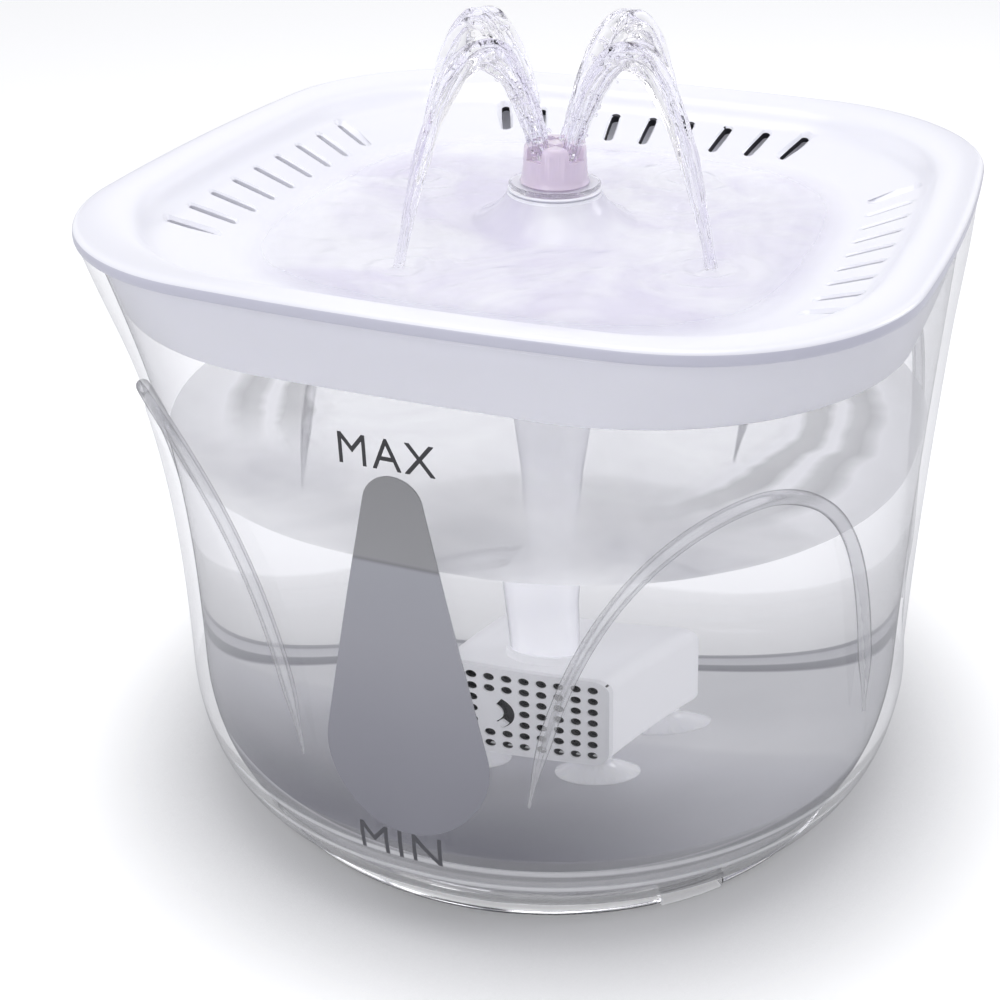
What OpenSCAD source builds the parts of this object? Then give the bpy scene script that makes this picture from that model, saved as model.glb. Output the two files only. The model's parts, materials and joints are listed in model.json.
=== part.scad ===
// Pet water fountain: a clear flared tank on a foot ring, a white drinking tray
// that drops into its mouth, a four-stream nozzle fed by a riser tube, and a
// small submersible pump held on the floor of the tank by suction cups.
// Millimetres, +Z up, origin under the middle of the tank on the surface it
// stands on. The side with the level window faces -Y.

/* [Tank] */
// Half width of the tank at its mouth, across the flats
tank_top_half = 99.4; // [92:0.1:108]
// Half width of the round lower body
tank_low_half = 97.8; // [90:0.1:105]
// Height of the tank's rim above the table
tank_height = 158.3; // [145:0.1:175]
// Wall thickness of the clear moulding
tank_wall = 3.2; // [2.4:0.1:4.5]
// Corner radius of the mouth
mouth_corner = 54.4; // [44:0.1:64]
// How far the middle of each side bulges beyond its ends
side_bow = 5.8; // [3:0.1:8]
// Height of the rounding between the floor and the side
bottom_round = 28; // [20:0.5:36]
// How far the bottom is drawn in by that rounding
bottom_draw = 13; // [9:0.5:16]
// Thickness of the tank floor
floor_wall = 3; // [2:0.1:4.5]

/* [Corner arches] */
// Height of the top of each corner arch
arch_height = 122.5; // [110:0.5:132]
// Angle from the corner to the foot of each arch
arch_span = 29.5; // [22:0.5:32]
// Width of the band at the top of the arch, from its bead to its step
arch_band = 4.9; // [2:0.1:6]
// Depth of the step along the arch
arch_step = 1; // [0.5:0.1:1.4]
// Height of the bead that edges the arch
arch_bead = 1.1; // [0.4:0.1:1.8]

/* [Foot ring] */
// Outer radius of the foot ring
foot_ring_r = 84.7; // [80:0.1:86]
// Height of the foot ring
foot_ring_h = 6.2; // [5:0.1:8]
// Thickness of the foot ring's wall
foot_ring_wall = 3.6; // [2.8:0.1:5]
// Height of the rubber foot pads
foot_pad_h = 4; // [3:0.1:4.6]
// Angle that each foot pad takes up
foot_pad_angle = 12; // [8:1:20]

/* [Floor mat and level window] */
// Gap between the floor mat's edge and the inside of the tank
mat_gap = 1.4; // [0.6:0.1:4]
// Thickness of the floor mat
mat_h = 1.4; // [0.8:0.1:2.5]
// Thickness of the level window's film
window_film = 0.4; // [0.3:0.05:0.8]
// Radius of the window's round head
window_head_r = 6.9; // [6:0.1:9]
// Height of the middle of the head
window_head_z = 118.7; // [108:0.1:122]
// Radius of the window's round foot
window_foot_r = 20.2; // [16:0.1:23]
// Height of the middle of the foot
window_foot_z = 52.7; // [46:0.1:58]

/* [Tray] */
// Thickness of the tray's rim
rim_h = 3.6; // [3:0.1:5]
// How far the rim stands out over the tank
rim_over = 0.6; // [0.2:0.1:1.5]
// Wall thickness of the tray
tray_wall = 2.4; // [1.8:0.1:3]
// Depth of the skirt that drops into the tank, below the rim
skirt_depth = 16.8; // [13:0.1:20]
// Clearance between the skirt and the tank
skirt_gap = 0.6; // [0.4:0.1:1]
// Thickness of the skirt
skirt_wall = 2; // [1.5:0.1:2.6]
// Depth of the dish below the rim's upper face
dish_depth = 13.9; // [11:0.1:14.5]
// Half width of the flat floor of the dish
dish_floor_half = 67; // [58:0.5:70]
// Distance of the outer end of the drain slots from the middle of the tray
slot_out = 84.5; // [82:0.1:86]
// Length of the drain slots, seen from above
slot_length = 12; // [9:0.1:13]
// Width of the drain slots
slot_width = 2.5; // [1.8:0.1:3]
// Distance between drain slots
slot_pitch = 11.4; // [9:0.1:12]
// Drain slots on each side of the tray
slot_count = 9; // [5:2:9]
// How much each slot leans further than the one before it
slot_fan = 5.5; // [0:0.5:6]

/* [Hub and nozzle] */
// Height of the hub above the floor of the dish
hub_h = 11; // [8:0.1:12]
// Radius of the hub's flat top
hub_top_r = 11.6; // [11:0.1:14]
// Radius over which the hub runs out into the dish
hub_foot_r = 29; // [24:0.5:34]
// Radius of the bore through the hub
hub_bore_r = 7.3; // [6.5:0.1:8]
// Clearance between the nozzle's stem and the hub's bore
stem_gap = 0.3; // [0.2:0.05:0.5]
// Radius of the clear collar under the nozzle
collar_r = 11.4; // [10.5:0.1:14]
// Thickness of the collar
collar_h = 1.5; // [1:0.1:2.5]
// Radius of the nozzle at its foot
nozzle_foot_r = 8.2; // [8:0.1:10]
// Radius of the nozzle at its head
nozzle_head_r = 7.6; // [7.2:0.1:8]
// Height of the nozzle above the collar
nozzle_h = 9.6; // [9:0.1:14]
// Width of the four outlets
outlet_w = 5; // [4.2:0.1:5.4]
// Turn of the outlets about the nozzle
nozzle_turn = 20; // [0:1:90]

/* [Water] */
// Height of the top of the streams
stream_top = 196; // [185:1:210]
// Distance of that top from the nozzle's axis
stream_reach = 25; // [20:0.5:30]
// Thickness of a stream at its top
stream_d = 7.4; // [5:0.1:9]

/* [Riser tube] */
// Outer radius of the tube at its head
riser_head_r = 10.4; // [9.8:0.1:11]
// Outer radius of the tube at its foot
riser_foot_r = 6.6; // [6.4:0.1:8]
// Wall thickness of the tube
riser_wall = 1.3; // [1:0.1:1.6]
// Height above the table at which the tube stops widening
riser_waist_z = 96; // [80:1:130]

/* [Filter] */
// Thickness of the filter pad
filter_h = 2.2; // [1.5:0.1:2.4]
// Gap between the filter's frame and the tray's skirt
filter_gap = 5.6; // [5:0.1:10]
// How much tighter the frame's corners are than the tank's mouth
filter_corner_in = 4.4; // [0:0.1:8]
// Wall thickness of the filter's frame
filter_wall = 1.2; // [0.8:0.1:1.6]

/* [Pump] */
// Width of the pump
pump_w = 36; // [34:0.5:44]
// Height of the pump's housing
pump_h = 27; // [25:0.5:32]
// Length of the pump, from its grille to its back
pump_l = 46; // [44:0.5:52]
// Distance of the outlet's axis behind the face of the grille
pump_outlet_y = 13.9; // [13.5:0.1:16]
// Wall thickness of the housing
pump_wall = 1.8; // [1.4:0.1:2.2]
// Depth of the intake bay behind the grille
intake_depth = 7; // [6:0.1:9]
// Thickness of the front grille
grille_t = 2; // [1.6:0.1:2.5]
// Radius of the holes in the grille
grille_hole_r = 1.15; // [0.8:0.05:1.3]
// Distance between holes, across
grille_pitch_x = 3.6; // [3.2:0.1:3.8]
// Distance between holes, up
grille_pitch_z = 3.5; // [3.2:0.1:4]
// Radius of the suction cups
cup_r = 8.6; // [7:0.1:10]
// Height of the suction cups under the pump
cup_h = 5; // [4:0.1:8]

/* [Pump drive] */
// Radius of the impeller
impeller_r = 8.6; // [7:0.1:9]
// Number of impeller blades
blade_count = 6; // [4:1:8]
// Radius of the rotor magnet
magnet_r = 5.6; // [5:0.1:6]
// Length of the rotor magnet
magnet_l = 13; // [10:0.5:14]
// Radius of the ceramic shaft
shaft_r = 1; // [0.8:0.1:1.5]
// Running clearance between shaft and rotor
shaft_gap = 0.06; // [0.03:0.01:0.09]

/* [Hidden] */

$fn = 48;
eps = 0.01;
seat = 0.2;              // gap that a pushed-on piece keeps from its seat

// ---- shared curves -------------------------------------------------------

function clamp(v, lo = 0, hi = 1) = min(max(v, lo), hi);
function ease(t) = let (c = clamp(t)) c * c * (3 - 2 * c);
function mix(a, b, t) = a + (b - a) * t;
function fold(phi) = let (m = phi + 45 - 90 * floor((phi + 45) / 90)) abs(m - 45);

// Distance from the middle to the edge of a square with bowed sides and round
// corners, t degrees off the middle of a side (0 to 45).
function bowed_square(t, half, corner, bow) =
    let (chord = half - 0.3 * corner,
         arc_r = (chord * chord + bow * bow) / (2 * bow),
         back = arc_r - half,
         c = (sqrt(2 * pow(arc_r - corner, 2) - back * back) - back) / 2,
         reach = norm([c, c + back]),
         join = atan2(c + corner * c / reach, c + corner * (c + back) / reach),
         along = c * (sin(t) + cos(t)))
    t < join ? sqrt(arc_r * arc_r - pow(back * sin(t), 2)) - back * cos(t)
             : along + sqrt(corner * corner - 2 * c * c + along * along);

// A ring of points at the given angles, one radius for each angle
function ring(angles, radii, z) =
    [for (i = [0 : len(angles) - 1]) [radii[i] * cos(angles[i]), radii[i] * sin(angles[i]), z]];

// Skin of a stack of equal rings. Closed stacks join the last ring to the
// first; open ones end in flat caps.
module skin(rings, closed = false) {
    n = len(rings[0]);
    rows = len(rings);
    last = closed ? rows - 1 : rows - 2;
    sides = [for (j = [0 : last], i = [0 : n - 1])
        let (k = (i + 1) % n, up = (j + 1) % rows)
        each [[j * n + i, up * n + i, up * n + k], [j * n + i, up * n + k, j * n + k]]];
    caps = closed ? [] : [[for (i = [0 : n - 1]) i],
                          [for (i = [n - 1 : -1 : 0]) (rows - 1) * n + i]];
    polyhedron(points = [for (r = rings) each r], faces = concat(sides, caps), convexity = 6);
}

// Flat rounded rectangle about the origin
module round_rect(w, h, r) {
    square([w - 2 * r, h], center = true);
    square([w, h - 2 * r], center = true);
    for (x = [-1, 1], y = [-1, 1]) translate([x * (w / 2 - r), y * (h / 2 - r)]) circle(r);
}

// Lays a profile drawn in X and Y upright, so that it runs from y0 to y1
module along_y(y0, y1) {
    translate([0, y1, 0]) rotate([90, 0, 0]) linear_extrude(y1 - y0) children();
}

// Cylinder along Y
module rod_y(r, y0, y1) {
    translate([0, y1, 0]) rotate([90, 0, 0]) cylinder(r = r, h = y1 - y0);
}

// ---- tank ----------------------------------------------------------------

round_top = foot_ring_h + 0.8 + bottom_round;
floor_z = foot_ring_h + floor_wall;
low_corner_share = 0.985;          // corner radius over half width, low down
mouth_corner_share = mouth_corner / tank_top_half;

function height_share(z) = clamp((z - round_top) / (tank_height - round_top));
function body_half(z) = z > round_top
    ? mix(tank_low_half, tank_top_half, pow(height_share(z), 1.6))
    : tank_low_half - bottom_draw * (1 - sqrt(1 - pow(min((round_top - z) / bottom_round, 1), 2)));
function corner_share(z) = mix(low_corner_share, mouth_corner_share, pow(height_share(z), 2.8));
function body_radius(phi, z) =
    let (half = body_half(z), share = corner_share(z))
    bowed_square(fold(phi), half, share * half,
                 max(0.15, side_bow * (1 - share) / (1 - mouth_corner_share)));

// The arch: psi is the angle from the corner. A bead runs along its edge, and
// the step back to the wall lies a band's width inside it.
arch_round = 0.56;
arch_rise = 2.3;
arch_foot_z = 28;        // height at which bead and step fade out
arch_fade = 14;
mm_per_degree = tank_low_half * PI / 180;
function arch_psi(z) = arch_span * pow(max(1 - pow(clamp(z / arch_height), arch_rise), 0), arch_round);
function arch_inside(psi, z) =
    let (u = max(psi, 0.5) / arch_span,
         du = pow(u, 1 / arch_round - 1) / arch_round / (arch_span * mm_per_degree),
         dv = arch_rise * pow(z / arch_height, arch_rise - 1) / arch_height)
    (1 - pow(u, 1 / arch_round) - pow(z / arch_height, arch_rise)) / norm([du, dv]);

arch_edge_w = 2.4;       // width over which the step runs
bead_w = 1.5;            // half width of the bead
function band_at(z) = arch_band * pow(clamp(z / arch_height), 2.6);
function arch_relief(phi, z) =
    let (d = arch_inside(45 - fold(phi), z),
         low = ease((z - arch_foot_z) / arch_fade),
         high = 1 - ease((z - arch_height) / (tank_height - arch_height - 6)),
         step = 1 - ease((d - band_at(z)) / arch_edge_w + 0.5))
    low * (arch_bead * exp(-pow(d / bead_w, 2)) - arch_step * high * step);
function outer_radius(phi, z) = body_radius(phi, z) + arch_relief(phi, z);
function inner_radius(phi, z) = body_radius(phi, z) - tank_wall;

// Angles of the tank's columns: on the outside they follow the arch's leg on
// each half side and even out above it, on the inside they are evenly spaced.
leg_lines = [-1.6, 0, 1.4, 2.8, 4.8];
even_half = [for (i = [0 : 9]) 4.5 * i];
even_run = 18;           // height over which the columns even out
function leg_half(z) =
    let (leg = min(45 - arch_psi(z), 38), first = leg + leg_lines[0] / mm_per_degree,
         last = leg + leg_lines[4] / mm_per_degree)
    [0, first / 3, first * 2 / 3, for (d = leg_lines) leg + d / mm_per_degree,
     mix(last, 45, 1 / 3), mix(last, 45, 2 / 3)];
function all_round(half) =
    let (n = len(half))
    [for (side = [0 : 3]) each concat([for (i = [0 : n - 1]) side * 90 + half[i]], [side * 90 + 45],
                                      [for (i = [n - 1 : -1 : 1]) side * 90 + 90 - half[i]])];
function column_angles(z) =
    let (leg = leg_half(z), share = ease((z - arch_height) / even_run))
    all_round([for (i = [0 : len(leg) - 1]) mix(leg[i], even_half[i], share)]);
even_angles = all_round(even_half);
function outer_ring(z) = let (a = column_angles(z)) ring(a, [for (p = a) outer_radius(p, z)], z);
function inner_ring(z) = ring(even_angles, [for (p = even_angles) inner_radius(p, z)], z);
function flat_ring(angles, r, z) = ring(angles, [for (p = angles) r], z);

outer_levels = concat(
    [for (k = [0 : 5]) round_top - bottom_round * cos(k * 15)],
    [for (k = [1 : 6]) mix(round_top, arch_height - 28, k / 6)],
    [for (k = [1 : 5]) arch_height - 28 + 5 * k],
    [arch_height, arch_height + 2.5, arch_height + 6],
    [for (k = [1 : 4]) mix(arch_height + 6, tank_height - 0.8, k / 4)]);
inner_levels = concat([tank_height - 0.8, tank_height - 9],
                      [for (k = [4 : -1 : 1]) mix(round_top, tank_height - 18, k / 4)],
                      [for (k = [5 : -1 : 2]) round_top - (round_top - floor_z) * cos(k * 15)]);
bottom_r = tank_low_half - bottom_draw - 1.2;      // radius of the flat bottom
floor_edge_r = tank_low_half - bottom_draw - tank_wall + 1.6;
lip_round = 0.5;         // rounding of the tank's lip

module tank() {
    color([0.9, 0.92, 0.94, 0.35])
    skin(concat(
        [flat_ring(column_angles(outer_levels[0]), bottom_r, foot_ring_h)],
        [for (z = outer_levels) outer_ring(z)],
        [ring(even_angles, [for (p = even_angles) outer_radius(p, tank_height) - lip_round], tank_height)],
        [ring(even_angles, [for (p = even_angles) inner_radius(p, tank_height) + lip_round], tank_height)],
        [for (z = inner_levels) inner_ring(z)],
        [flat_ring(even_angles, floor_edge_r, floor_z)]));
}

// ---- foot ring, pads, mat, window ----------------------------------------

pad_angles = [45, 135, 225, 315];
pad_gap = 0.2;
ring_lift = 0.5;         // the ring stands clear of the table by this much
foot_overlap = 4.5;      // width over which the ring's flange lies under the tank

module ring_arc(r0, r1, z0, z1, angle) {
    rotate([0, 0, -angle / 2]) rotate_extrude(angle = angle, $fn = 96)
        translate([r0, z0]) square([r1 - r0, z1 - z0]);
}

module foot_ring() {
    flange_r = min(foot_ring_r - foot_ring_wall - 2, bottom_r - foot_overlap);
    color([0.88, 0.9, 0.93, 0.35])
    difference() {
        rotate_extrude($fn = 96) {
            translate([foot_ring_r - foot_ring_wall, ring_lift])
                square([foot_ring_wall, foot_ring_h - ring_lift]);
            translate([flange_r, foot_ring_h - 1.4])
                square([foot_ring_r - 0.8 - flange_r, 1.4]);
        }
        for (a = pad_angles) rotate([0, 0, a])
            ring_arc(foot_ring_r - foot_ring_wall - 3, foot_ring_r + 3, -1,
                     foot_pad_h + pad_gap, foot_pad_angle);
    }
}

module foot_pads() {
    color([0.82, 0.82, 0.86])
    for (a = pad_angles) rotate([0, 0, a])
        ring_arc(foot_ring_r - foot_ring_wall, foot_ring_r, 0, foot_pad_h,
                 foot_pad_angle - 2 * pad_gap / mm_per_degree);
}

mat_r = floor_edge_r - mat_gap;
mat_top = floor_z + mat_h;
module floor_mat() {
    color([0.52, 0.52, 0.57])
    translate([0, 0, floor_z]) rotate_extrude($fn = 96)
        polygon([[0, 0], [mat_r, 0], [mat_r, mat_h - 0.5], [mat_r - 0.5, mat_h], [0, mat_h]]);
}

// Level window: two round ends joined by their common tangents
window_lean = asin((window_foot_r - window_head_r) / (window_head_z - window_foot_z));
window_rows = 18;
window_steps = 6;
window_gap = 0.1;
function window_half(z) =
    let (head_join = window_head_z + window_head_r * sin(window_lean),
         foot_join = window_foot_z + window_foot_r * sin(window_lean))
    z > head_join ? sqrt(max(pow(window_head_r, 2) - pow(z - window_head_z, 2), 0))
    : z < foot_join ? sqrt(max(pow(window_foot_r, 2) - pow(z - window_foot_z, 2), 0))
    : (window_head_r + (window_head_z - z) * sin(window_lean)) / cos(window_lean);
function window_z(k) =
    let (low = window_foot_z - window_foot_r + 0.15, high = window_head_z + window_head_r - 0.1)
    mix(low, high, (1 - cos(180 * k / window_rows)) / 2);
function on_wall(x, z, out) =
    let (phi = -90 + asin(x / tank_low_half), r = outer_radius(phi, z) + out)
    [r * cos(phi), r * sin(phi), z];
function window_share(k) = 2 * k / window_steps - 1;
function window_ring(z) =
    let (half = window_half(z))
    concat([for (k = [0 : window_steps]) on_wall(half * window_share(k), z, window_gap + window_film)],
           [for (k = [window_steps : -1 : 0]) on_wall(half * window_share(k), z, window_gap)]);

module level_window() {
    color([0.55, 0.55, 0.59])
    skin([for (k = [0 : window_rows]) window_ring(window_z(k))]);
}

// ---- tray ----------------------------------------------------------------

tray_half = tank_top_half + rim_over;
tray_corner = mouth_corner + rim_over;
tray_top = tank_height + rim_h;
dish_z = tray_top - dish_depth;          // upper face of the dish's floor
skirt_z = tank_height - skirt_depth;     // lower edge of the skirt
slot_z_out = tray_top - 6.6;             // height of the slope at the slots' outer ends
dish_corner = 46;                        // corner radius of the dish's outlines
hub_z = dish_z + hub_h;                  // top of the hub
spigot_r = riser_head_r - riser_wall - 0.3;
shell_hole_r = spigot_r + 0.08;          // hole in the tray that takes the hub's sleeve
spigot_z = skirt_z - 3;                  // lower end of the sleeve
sleeve_flange_h = 0.6;
slope_run = slot_out + 1.2 - dish_floor_half;
function slope_z(half) = dish_z + (slot_z_out - dish_z) * (half - dish_floor_half) / slope_run;

// A slot's edge: side is -1 or 1, in is the distance from its outer end
slot_round = 0.35 * slot_width;          // length over which a slot's end is rounded
function slot_edge(k, side, in, share) =
    let (y = k * slot_pitch, lean = k * slot_fan, off = side * share * slot_width / 2)
    [slot_out - y * y / 1200 - in * cos(lean) - off * sin(lean), y - in * sin(lean) + off * cos(lean)];
slot_rows = [[slot_length, 0.5], [slot_length - slot_round, 1], [slot_round, 1], [0, 0.5]];
half_count = (slot_count - 1) / 2;
corner_steps = 5;                        // columns round each corner of the tray
last_edge = slot_edge(half_count, 1, slot_length / 2, 1);
last_angle = atan2(last_edge[1], last_edge[0]);
corner_angles = [for (i = [1 : corner_steps]) mix(last_angle + 1, 89 - last_angle, i / (corner_steps + 1))];
side_columns = 2 * slot_count + corner_steps;
tray_angles = [for (side = [0 : 3]) each concat(
    [for (k = [-half_count : half_count], e = [-1, 1])
        let (p = slot_edge(k, e, slot_length / 2, 1)) side * 90 + atan2(p[1], p[0])],
    [for (a = corner_angles) side * 90 + a])];

function turned(p, a) = [p[0] * cos(a) - p[1] * sin(a), p[0] * sin(a) + p[1] * cos(a)];
function square_reach(phi, half, corner) = bowed_square(fold(phi), half, corner, side_bow * half / tray_half);
function square_ring(half, corner, z) =
    ring(tray_angles, [for (p = tray_angles) square_reach(p, half, corner)], z);
function round_ring(r, z) = ring(tray_angles, [for (p = tray_angles) r], z);
function skirt_ring(inset, z) =
    ring(tray_angles, [for (p = tray_angles) inner_radius(p, z) - skirt_gap - inset], z);
function blend_ring(half, corner, r, t, z) =
    ring(tray_angles, [for (p = tray_angles) mix(square_reach(p, half, corner), r, t)], z);
function rim_ring(inset, z) = square_ring(tray_half - inset, tray_corner - inset, z);
function slot_ring(row, drop) =
    let (z = slope_z(slot_out - row[0]) - drop)
    [for (side = [0 : 3]) each concat(
        [for (k = [-half_count : half_count], e = [-1, 1])
            let (p = turned(slot_edge(k, e, row[0], row[1]), side * 90)) [p[0], p[1], z]],
        [for (a = corner_angles)
            let (r = square_reach(a, slot_out - row[0], dish_corner + 4), q = side * 90 + a)
            [r * cos(q), r * sin(q), z]])];

slot_drop = tray_wall * 1.15;            // upright thickness of the slotted slope
rings_inside = concat(                   // upper side, from the hub to the slots
    [round_ring(shell_hole_r, hub_z - sleeve_flange_h), round_ring(hub_top_r - 0.5, hub_z - sleeve_flange_h)],
    [for (k = [1 : 5]) round_ring(mix(hub_top_r, hub_foot_r, pow(k / 5, 1.5)),
                                  dish_z + (hub_h - 0.9) * pow(1 - k / 5, 1.6))],
    [blend_ring(dish_floor_half - 12, dish_corner - 4, hub_foot_r + 20, 0.4, dish_z),
     square_ring(dish_floor_half - 3, dish_corner, dish_z),
     square_ring(dish_floor_half + 1.5, dish_corner, slope_z(dish_floor_half + 1.5) + 0.2)]);
rings_outside = concat(                  // the rim, then down and up the skirt
    [square_ring(slot_out + 2.2, dish_corner + 5, slot_z_out + 1.7),
     square_ring(slot_out + 4.6, dish_corner + 6, tray_top - 2.2),
     rim_ring(7.2, tray_top - 0.6), rim_ring(2, tray_top), rim_ring(0.6, tray_top - 0.3),
     rim_ring(0, tray_top - 1.1), rim_ring(0, tank_height + 0.6), rim_ring(0.4, tank_height + seat)],
    [skirt_ring(0, tank_height + seat), skirt_ring(0.1, skirt_z + 0.6), skirt_ring(0.8, skirt_z),
     skirt_ring(skirt_wall - 0.3, skirt_z), skirt_ring(skirt_wall + 0.5, tank_height - 1)],
    [square_ring(slot_out + 3, dish_corner + 5, slot_z_out + 1.7 - slot_drop)]);
rings_under = [square_ring(dish_floor_half + 1, dish_corner, dish_z - tray_wall),
               round_ring(hub_foot_r, dish_z - tray_wall), round_ring(shell_hole_r, dish_z - tray_wall)];

// Skin of the tray: a closed stack of rings, with the cells of the slots left
// out of its upper and lower side and a wall set round each of them.
module tray() {
    upper = len(rings_inside);
    lower = upper + 4 + len(rings_outside);
    rings = concat(rings_inside, [for (r = slot_rows) slot_ring(r, 0)], rings_outside,
                   [for (m = [3 : -1 : 0]) slot_ring(slot_rows[m], slot_drop)], rings_under);
    n = 4 * side_columns;
    rows = len(rings);
    is_slot = [for (i = [0 : n - 1]) let (c = i % side_columns) c < 2 * slot_count && c % 2 == 0];
    is_band = [for (j = [0 : rows - 1]) (j >= upper && j < upper + 3) || (j >= lower && j < lower + 3)];
    sheets = [for (j = [0 : rows - 1], i = [0 : n - 1]) if (!(is_slot[i] && is_band[j]))
        let (k = (i + 1) % n, up = (j + 1) % rows)
        each [[j * n + i, up * n + k, up * n + i], [j * n + i, j * n + k, up * n + k]]];
    walls = [for (i = [0 : n - 1]) if (is_slot[i]) let (k = i + 1)
        each concat(
            [for (m = [0 : 2]) each [
                [at(m, i), under(m, i), under(m + 1, i), at(m + 1, i)],
                [at(m + 1, k), under(m + 1, k), under(m, k), at(m, k)]]],
            [[at(3, i), under(3, i), under(3, k), at(3, k)],
             [at(0, k), under(0, k), under(0, i), at(0, i)]])];
    function at(m, i) = (upper + m) * n + i;
    function under(m, i) = (lower + 3 - m) * n + i;
    color([0.95, 0.95, 0.97])
    polyhedron(points = [for (r = rings) each r], faces = concat(sheets, walls), convexity = 10);
}

// Sleeve through the hub: takes the nozzle's stem above and centres the riser
// tube below.
module hub_sleeve() {
    color([0.95, 0.95, 0.97])
    rotate_extrude() {
        translate([hub_bore_r, spigot_z]) square([spigot_r - hub_bore_r, hub_z - spigot_z]);
        translate([hub_bore_r, hub_z - sleeve_flange_h]) square([hub_top_r - hub_bore_r, sleeve_flange_h]);
    }
}

// ---- hub, nozzle and water -----------------------------------------------

collar_z = hub_z;                        // underside of the clear collar
nozzle_z = collar_z + collar_h;          // foot of the nozzle
nozzle_top = nozzle_z + nozzle_h;
stem_r = hub_bore_r - stem_gap;
stem_z = dish_z - 1;                     // lower end of the nozzle's stem
stem_bore_r = stem_r - 1.6;
outlet_angles = [for (k = [0 : 3]) nozzle_turn + 45 + 90 * k];
outlet_in = 3;                           // inner end of an outlet, from the axis
outlet_drop = 4.6;                       // depth of an outlet below the head
outlet_tilt = 12;                        // the outlets' floors rise outwards
bore_top = nozzle_top - outlet_drop - 1.6;
feed_r = 1.2;                            // radius of the channel that feeds an outlet

module nozzle() {
    color([0.86, 0.8, 0.9, 0.8])
    difference() {
        rotate_extrude()
            polygon([[stem_bore_r, stem_z], [stem_r, stem_z], [stem_r, nozzle_z],
                     [nozzle_foot_r + 0.5, nozzle_z], [nozzle_foot_r, nozzle_z + 1.2],
                     [nozzle_head_r, nozzle_top - 1], [nozzle_head_r - 0.9, nozzle_top],
                     [0, nozzle_top], [0, bore_top], [stem_bore_r, bore_top]]);
        for (a = outlet_angles) rotate([0, 0, a]) {
            translate([outlet_in, -outlet_w / 2, nozzle_top - outlet_drop])
                rotate([0, -outlet_tilt, 0]) cube([nozzle_foot_r, outlet_w, outlet_drop * 2]);
            translate([outlet_in + feed_r + 0.3, 0, bore_top - 1])
                cylinder(r = feed_r, h = nozzle_top - outlet_drop + 1.4 - bore_top);
        }
    }
}

module nozzle_collar() {
    color([0.9, 0.92, 0.96, 0.4])
    translate([0, 0, collar_z]) rotate_extrude()
        polygon([[stem_r + 0.1, 0], [collar_r - 0.5, 0], [collar_r, 0.5], [collar_r, collar_h - 0.5],
                 [collar_r - 0.5, collar_h - 0.1], [stem_r + 0.1, collar_h - 0.1]]);
}

// Streams: four falling curves swept as round tubes that thin out downwards
stream_start = 5.4;                      // distance of a stream's start from the axis
water_z = dish_z + 3;                    // level of the water in the dish
stream_sag = (stream_top - nozzle_top) / pow(stream_reach - stream_start - 1, 2);
stream_end = stream_reach + sqrt((stream_top - water_z) / stream_sag);
stream_rings = 18;
stream_sides = 8;
function stream_height(r) = stream_top - stream_sag * pow(r - stream_reach, 2);
function stream_ring(r, k) =
    let (slope = -2 * stream_sag * (r - stream_reach), len = norm([1, slope]),
         thick = stream_d / 2 * (k < 6 ? mix(0.62, 1, k / 6) : mix(1, 0.45, (k - 6) / (stream_rings - 6))))
    [for (s = [0 : stream_sides - 1]) let (a = s * 360 / stream_sides)
        [r - thick * cos(a) * slope / len, thick * sin(a), stream_height(r) + thick * cos(a) / len]];

module water_streams() {
    color([0.9, 0.93, 0.98, 0.4])
    for (a = outlet_angles) rotate([0, 0, a])
        skin([for (k = [stream_rings : -1 : 0])
            stream_ring(mix(stream_start, stream_end, pow(k / stream_rings, 0.85)), k)]);
}

// ---- riser tube and filter -----------------------------------------------

pump_z = mat_top + cup_h;                // underside of the pump
pump_top = pump_z + pump_h;
outlet_flange_h = 2.4;
outlet_h = 11;                           // height of the outlet's barb
outlet_r = riser_foot_r - riser_wall - 0.35;
riser_z = pump_top + outlet_flange_h + seat;
riser_top = dish_z - tray_wall - seat;

module riser_tube() {
    slim = riser_foot_r - riser_wall;
    wide = riser_head_r - riser_wall;
    waist = mix(riser_z, riser_waist_z, 0.3);
    color([0.92, 0.92, 0.95, 0.8])
    rotate_extrude() polygon([
        [slim, riser_z], [riser_foot_r, riser_z], [riser_foot_r + 0.3, waist],
        [mix(riser_foot_r, riser_head_r, 0.45), mix(waist, riser_waist_z, 0.55)],
        [riser_head_r, riser_waist_z], [riser_head_r, riser_top], [wide, riser_top],
        [wide, riser_waist_z], [mix(slim, wide, 0.45), mix(waist, riser_waist_z, 0.55)],
        [slim + 0.3, waist]]);
}

seal_h = 2;
seal_z = pump_top + outlet_flange_h + 5;
seal_depth = 0.6;                        // depth of the seal's groove in the outlet
module riser_seal() {
    color([0.25, 0.25, 0.28])
    translate([0, 0, seal_z]) rotate_extrude()
        translate([outlet_r - seal_depth, 0]) square([seal_depth + 0.2, seal_h]);
}

frame_z = skirt_z + 0.4;                 // underside of the filter's frame
frame_floor = 1.2;
frame_corner = mouth_corner - filter_corner_in;
filter_half = tank_top_half - tank_wall - skirt_gap - skirt_wall - filter_gap;
pad_z = frame_z + frame_floor;
filter_hole_r = riser_head_r + 0.8;
window_count = 24;

module filter_frame() {
    frame_h = dish_z - tray_wall - frame_z - seat;
    inside = filter_half - filter_wall;
    color([0.88, 0.88, 0.9])
    translate([0, 0, frame_z]) difference() {
        linear_extrude(frame_h) round_rect(2 * filter_half, 2 * filter_half, frame_corner);
        translate([0, 0, frame_floor]) linear_extrude(frame_h) difference() {
            round_rect(2 * inside, 2 * inside, frame_corner - filter_wall);
            circle(filter_hole_r + filter_wall);
        }
        translate([0, 0, -1]) cylinder(r = filter_hole_r, h = frame_h + 2);
        for (k = [0 : window_count - 1]) rotate([0, 0, k * 360 / window_count])
            translate([28, -2, -1]) cube([46, 4, frame_floor + 2]);
    }
}

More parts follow.
